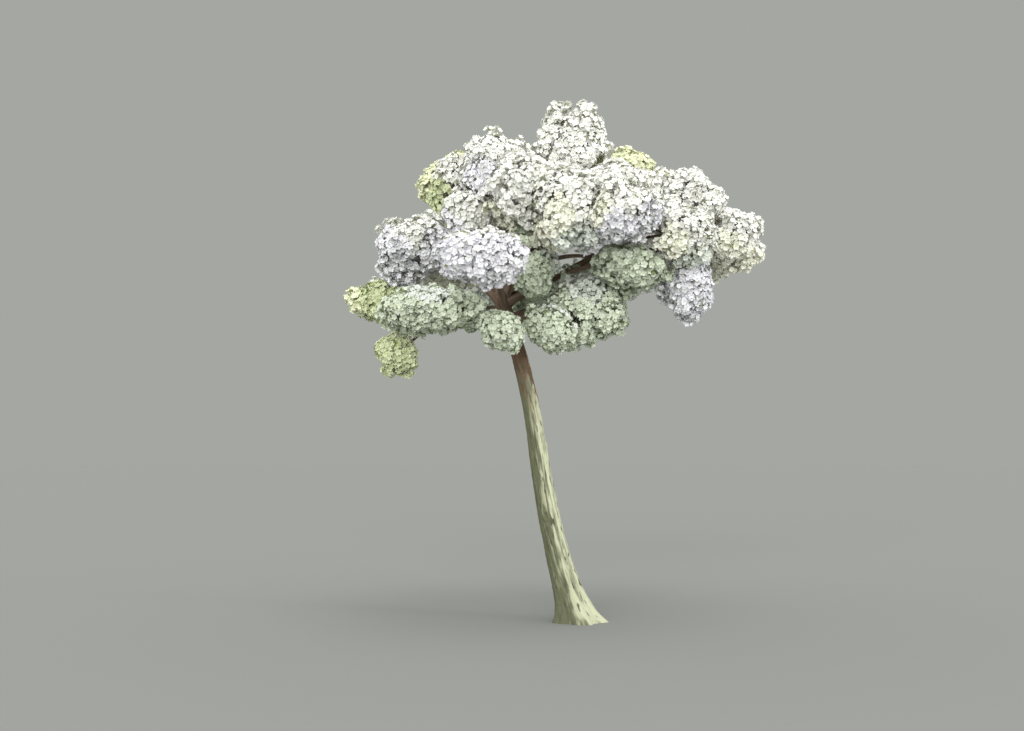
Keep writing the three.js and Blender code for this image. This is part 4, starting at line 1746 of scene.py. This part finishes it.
    def cluster_row(self, plain_count: int, layer: tuple[float, float]) -> tuple[np.ndarray, ...]:
        """Sets spurs of one layer, drawn in where they would leave the mass's space.

        They are counted for the largest skin, and thinned evenly where the skin is smaller.

        Args:
            plain_count: How many a plain skin would have.
            layer: Least and greatest share of its branchlet's reach at which one ends.

        Returns:
            Their tips, the ways that their clusters face, their roots, and the ways that they leave these.
        """
        count = round_half_up(plain_count * self.dense_share**2)
        headings = self.spread(count, self.cluster_scatter)
        sprays = np.argmax(headings @ self.spray_headings.T, axis=1)
        branches = np.argmax(headings @ self.branch_headings.T, axis=1)
        reach = self.spray_reaches[sprays] * self.spray_dome.reach(headings, self.spray_headings[sprays])
        reach *= self.branch_reaches[branches]
        reach *= self.branchlet_dome.reach(headings, self.branch_headings[branches])
        skin = self.skin.share(headings)
        reach *= self.dice.uniform(*layer, count) * skin
        chosen = np.arange(count) * math.sqrt(2) % 1 < (skin / self.dense_share) ** 2
        size = np.linalg.norm(self.half * headings, axis=1)
        share = reach - (self.stalk_length + self.flower_depth * self.flower_radius) / size
        fits = self.fitting(headings, share)
        for _ in range(self.draws):
            share = np.where(fits, share, share - self.draw_in)
            fits = self.fitting(headings, share)
        tips = self.skin.plain(headings, share)
        kept = fits & chosen & (share > self.least_reach) & self.shows(tips)
        kept &= self.limbs.clearance(tips) > self.limb_room
        outward = unit(headings / self.half)
        axes = unit(outward + self.lifting * UP + self.dice.normal(0, self.cluster_tilt, (count, 3)))
        starts, ends = self.branch_roots[branches], self.branch_tips[branches]
        roots = starts + self.dice.uniform(*self.spur_roots, (count, 1)) * (ends - starts)
        return tips[kept], axes[kept], roots[kept], unit(ends - starts)[kept]

    def fitting(self, headings: np.ndarray, shares: np.ndarray) -> np.ndarray:
        """Returns True for each place that lies in the mass's own space and in the tree's box.

        Args:
            headings: Ways from the mass's heart.
            shares: Shares of the way to the plain skin.
        """
        points = self.skin.plain(headings, shares)
        boxed = ((points > self.room[0]) & (points < self.room[1])).all(axis=1)
        return boxed & self.skin.in_space(points)

    def limb_row(self) -> tuple[np.ndarray, ...]:
        """Sets short spurs along the bough itself, wherever it runs outside all blossom.

        Returns:
            Their tips, the ways that their clusters face, their roots, and the ways that they leave these.
        """
        places, lengths = self.bough.along(self.limb_steps)
        count = round_half_up(lengths[-1] * self.limb_spurs)
        step = self.dice.integers(*self.limb_spur_span, count)
        heading = unit(np.gradient(places, axis=0))[step]
        side = unit(np.cross(heading, UP))
        angle = self.dice.uniform(0, 2 * math.pi, (count, 1))
        across = np.cos(angle) * side + np.sin(angle) * np.cross(side, heading)
        ways = unit(across + self.limb_spur_lift * UP)
        sunk = self.limb_spur_sink * self.bough.radius(lengths[step] / lengths[-1])
        roots = places[step] + sunk[:, None] * ways
        tips = roots + self.dice.uniform(*self.limb_spur_length, (count, 1)) * ways
        kept = (depths(tips).min(axis=1) > self.limb_outside) & (self.filling(tips) > self.limb_shelter)
        kept &= (self.limbs.clearance(tips) > self.limb_spur_clearance) & self.shows(tips)
        axes = unit(ways + self.dice.normal(0, self.limb_spur_tilt, (count, 3)))
        return tips[kept], axes[kept], roots[kept], ways[kept]

    def build(self) -> int:
        """Builds the mass's pieces.

        Returns:
            The number of its flowers.
        """
        self.grow_wood()
        self.grow_clusters()
        node = (f"blossom_{self.name}",)
        self.build_twigs(node)
        flowers = self.build_flowers(node)
        self.build_leaves(node)
        return flowers

    def build_twigs(self, node: tuple[str, ...]) -> None:
        """Joins stem, main twigs, spray twigs, branchlets and spurs.

        Args:
            node: The solid that they stand for.
        """
        basket = TwigBasket()
        stem = unit(self.heart - self.bough.entry)[None]
        thick = self.bough.tip_radius
        stem_order = TwigOrder(7, (thick, thick * self.stem_taper), 12)
        basket.add(stem_order, self.bough.entry[None] - self.stem_foot * stem, stem, self.heart[None])
        ways = np.repeat(stem, len(self.main_tips), axis=0)
        basket.add(MAIN_TWIGS, self.main_roots_at, ways, self.main_tips)
        ways = unit(self.main_tips - self.main_roots_at)[self.spray_mains]
        basket.add(SPRAY_TWIGS, self.spray_roots_at, ways, self.spray_tips)
        ways = unit(self.spray_tips - self.spray_roots_at)[self.branch_sprays]
        basket.add(BRANCHLETS, self.branch_roots, ways, self.branch_tips)
        for order, row in ((OUTER_SPURS, ~self.inner), (INNER_SPURS, self.inner)):
            basket.add(order, self.roots[row], self.ways[row], self.tips[row])
        basket.build(f"twigs_{self.name}", node)

    def build_flowers(self, node: tuple[str, ...]) -> int:
        """Sets the flowers of every cluster round its spur's tip.

        Args:
            node: The solid that they stand for.

        Returns:
            How many there are.
        """
        colours = self.spray_finishes()
        clusters = len(self.tips)
        count = clusters * self.flowers
        cluster = np.repeat(np.arange(clusters), self.flowers)
        place = np.tile(np.arange(self.flowers), clusters)
        axes = self.axes[cluster]
        tilt = np.where(place == 0, self.middle_tilt, self.round_tilt)
        tilt = tilt + self.dice.normal(0, self.tilt_spread, count)
        cluster_turn = np.repeat(self.dice.uniform(*self.ANY_TURN, clusters), self.flowers)
        turn = place * 2 * math.pi / (self.flowers - 1) + cluster_turn
        frames = frames_facing(axes, turn + self.dice.normal(0, self.turn_spread, count))
        ways = unit(frames[:, 0] * np.sin(tilt)[:, None] + axes * np.cos(tilt)[:, None])
        length = self.stalk_length * self.dice.uniform(*self.stalk_sizes, count)
        centres = self.tips[cluster] + ways * length[:, None]
        facing = ways + self.facing_cluster * axes + self.facing_up * UP
        facing = unit(facing + self.dice.normal(0, self.facing_spread, (count, 3)))
        sizes = self.flower_radius * self.dice.uniform(*self.flower_sizes, count)
        kind = np.searchsorted(np.cumsum(self.flower_kinds), self.dice.random(count))
        kind = np.where(self.inner[cluster], len(self.masters) - 1, kind)
        spins = self.dice.uniform(*self.ANY_TURN, count)
        corners, faces, numbers, first = [], [], [], 0
        for which, master in enumerate(self.masters):
            chosen = kind == which
            frames = frames_facing(facing[chosen], spins[chosen])
            made, cells = master.copies(centres[chosen], frames, sizes[chosen])
            parts = np.tile(master.parts, int(chosen.sum()))
            petal = np.repeat(colours[self.cluster_sprays[cluster[chosen]]], len(master.parts))
            numbers.append(np.where(parts == Part.PETAL.value, petal, len(PETALS) - 1 + parts))
            corners.append(made)
            faces.append(cells + first)
            first += len(made)
        name = f"flowers_{self.name}"
        used, small = np.unique(np.concatenate(numbers), return_inverse=True)
        finishes = tuple(FLOWER_FINISHES[number] for number in used)
        mesh = joined_mesh(name, np.concatenate(corners), np.concatenate(faces), small, finishes)
        place_piece(mesh, name, node)
        return count

    def spray_finishes(self) -> np.ndarray:
        """Returns the number of each spray's petal colour.

        A spray takes the tone of one of the masses that are near it, most often its own, and of that tone's
        colours the one for the way that the spray faces and for its height in the crown: sprays that face
        down or sit low get the darker colours, which are painted shade.
        """
        count = len(self.spray_headings)
        ends = self.out(self.spray_headings, self.spray_reaches)
        near = np.exp(self.tone_edge * (1 - depths(ends) ** 2))
        drawn = self.dice.random((count, 1)) * near.sum(axis=1, keepdims=True)
        masses = np.argmax(near.cumsum(axis=1) > drawn, axis=1)
        # Painted shade: sprays that face down or sit low go further down their tone's colours, to the darker
        # ones.
        level = self.tone_level - self.painted_shade_tilt * self.spray_headings[:, 2] + (self.painted_shade_height - ends[:, 2])
        level = level + self.dice.normal(0, self.tone_spread, count)
        last = len(SPRAY_COLOURS[self.tone]) - 1
        steps = np.clip(np.floor(level + 0.5), 0, last).astype(int)
        tones = [growth.tone for growth in GROWTHS.values()]
        drawn = [SPRAY_COLOURS[tones[mass]][step] for mass, step in zip(masses, steps)]
        return np.array([PETALS.index(finish) for finish in drawn])

    def build_leaves(self, node: tuple[str, ...]) -> None:
        """Sets young leaves at the foot of some clusters, more of them in the creamy masses.

        Args:
            node: The solid that they stand for.
        """
        count = round_half_up(len(self.tips) * LEAFINESS[self.tone])
        cluster = self.dice.integers(0, len(self.tips), count)
        axes = self.axes[cluster]
        ways = unit(axes + self.dice.normal(0, self.leaf_tilt, (count, 3)))
        tops = unit(axes - ways * np.sum(axes * ways, axis=1)[:, None])
        frames = np.stack((ways, np.cross(tops, ways), tops), axis=1)
        sizes = self.dice.uniform(*self.leaf_sizes, count)
        corners, faces = self.leaf.copies(self.tips[cluster] + self.leaf_gap * ways, frames, sizes)
        young = np.repeat((self.dice.random(count) < self.leaf_young).astype(int), len(self.leaf.faces))
        name = f"leaves_{self.name}"
        mesh = joined_mesh(name, corners, faces, young, LEAF_FINISHES)
        place_piece(mesh, name, node)


# Studio


@dataclass(frozen=True)
class SoftLight:
    """A broad soft light that falls the same way on everything.

    Attributes:
        name: Its name.
        source: Where it comes from.
        strength: Its strength in watts per square metre.
        width: Angle that it fills, in degrees, which softens its shadows.
    """

    name: str
    source: tuple[float, float, float]
    strength: float
    width: float

    def hang(self) -> None:
        """Puts the light into the scene."""
        data = bpy.data.lights.new(self.name, "SUN")
        data.energy = self.strength
        data.angle = math.radians(self.width)
        lamp = bpy.data.objects.new(self.name, data)
        lamp.rotation_euler = (-Vector(self.source)).to_track_quat("-Z", "Y").to_euler()
        bpy.context.scene.collection.objects.link(lamp)


@dataclass
class Studio:
    """Camera, floor and soft light.

    Attributes:
        eye: Where the camera stands.
        pitch: How far it looks up, in degrees.
        focal: Its focal length in pixels of the picture.
        width: Width of the picture in pixels.
        sensor: Width of its sensor in millimetres.
        clip_end: How far it sees.
        floor_radius: How far the floor reaches.
        floor_sides: Corners of its round edge.
        floor_roughness: How dull it is.
        floor_colour: Its colour, chosen so that it meets the backdrop with no edge.
        lights: The lights from above, from the front and from the right.
        sky_light: Light of the surround.
        backdrop: Colour of the surround as the camera sees it.
    """

    eye: tuple[float, float, float] = (-0.660, -11.0, 1.650)
    pitch: float = 4.55
    focal: float = 1100.0
    width: float = 1024.0
    sensor: float = 36.0
    clip_end: float = 200.0
    floor_radius: float = 150.0
    floor_sides: int = 96
    floor_roughness: float = 0.9
    floor_colour: Colour = (0.373, 0.38, 0.359)
    lights: tuple[SoftLight, ...] = (
        SoftLight("overhead", (0.13, -0.22, 1.0), 0.3, 30.0),
        SoftLight("front", (-0.16, -1.0, 0.08), 3.15, 50.0),
        SoftLight("side", (1.0, -0.42, 0.12), 0.9, 10.0),
    )
    sky_light: Colour = (0.73, 0.74, 0.74)
    backdrop: Colour = (0.376, 0.386, 0.361)

    def build(self) -> None:
        """Sets up the camera, floor, lights and sky."""
        self.camera()
        self.floor()
        for light in self.lights:
            light.hang()
        self.surround()
        view = bpy.context.scene.view_settings
        view.view_transform = "Standard"
        view.look = "None"

    def camera(self) -> None:
        """Sets the camera at the height and angle of the picture."""
        data = bpy.data.cameras.new("camera")
        data.sensor_width = self.sensor
        data.lens = self.focal / self.width * self.sensor
        data.clip_end = self.clip_end
        holder = bpy.data.objects.new("camera", data)
        holder.location = self.eye
        holder.rotation_euler = (math.radians(90 + self.pitch), 0.0, 0.0)
        bpy.context.scene.collection.objects.link(holder)
        bpy.context.scene.camera = holder

    def floor(self) -> None:
        """Lays a plain pale floor."""
        shape = bmesh.new()
        bmesh.ops.create_circle(
            shape, cap_ends=True, segments=self.floor_sides, radius=self.floor_radius
        )
        mesh = bpy.data.meshes.new("floor")
        shape.to_mesh(mesh)
        shape.free()
        finish = PlainFinish("floor_pale", self.floor_colour, self.floor_roughness, gloss=0.0)
        mesh.materials.append(finish.material())
        floor = bpy.data.objects.new("floor", mesh)
        bpy.context.scene.collection.objects.link(floor)
        floor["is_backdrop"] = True

    def surround(self) -> None:
        """Gives the even light of a pale surround, which the camera sees as a plain backdrop."""
        world = bpy.data.worlds.new("surround")
        world.use_nodes = True
        nodes, links = world.node_tree.nodes, world.node_tree.links
        path = nodes.new("ShaderNodeLightPath")
        colour = mixed(world.node_tree, path.outputs["Is Camera Ray"], self.sky_light, self.backdrop)
        links.new(colour, nodes["Background"].inputs["Color"])
        bpy.context.scene.world = world


def main() -> None:
    """Builds the tree around its solids."""
    logging.basicConfig(level=logging.INFO, format="%(message)s", stream=sys.stdout)
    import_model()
    solids_box = [list(corner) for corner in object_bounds()]
    Studio().build()
    trunk = Trunk()
    trunk.build()
    boughs: dict[str, Bough] = {}
    for number, (name, growth) in enumerate(GROWTHS.items()):
        if growth.limb == "trunk":
            start, thick = trunk.middle(MM * growth.at), trunk.radius(MM * growth.at)
        else:
            parent = boughs[growth.limb]
            start, thick = parent.point(growth.at), parent.radius(growth.at)
        boughs[name] = Bough(name, growth, np.array(start))
        boughs[name].build(float(thick), number)
    limbs = Limbs.of(trunk, boughs)
    room = np.array(solids_box) + np.array([[-ROOM], [ROOM]])
    masters = (flower_master(0.18, 0.10), flower_master(0.62, 0.14), bud_master(), inner_master())
    leaf = leaf_master()
    flowers = sum(
        BlossomMass(name, number, boughs[name], limbs, room, masters, leaf).build()
        for number, name in enumerate(GROWTHS)
    )
    LOG.info("%d flowers", flowers)


if __name__ == "__main__":
    main()
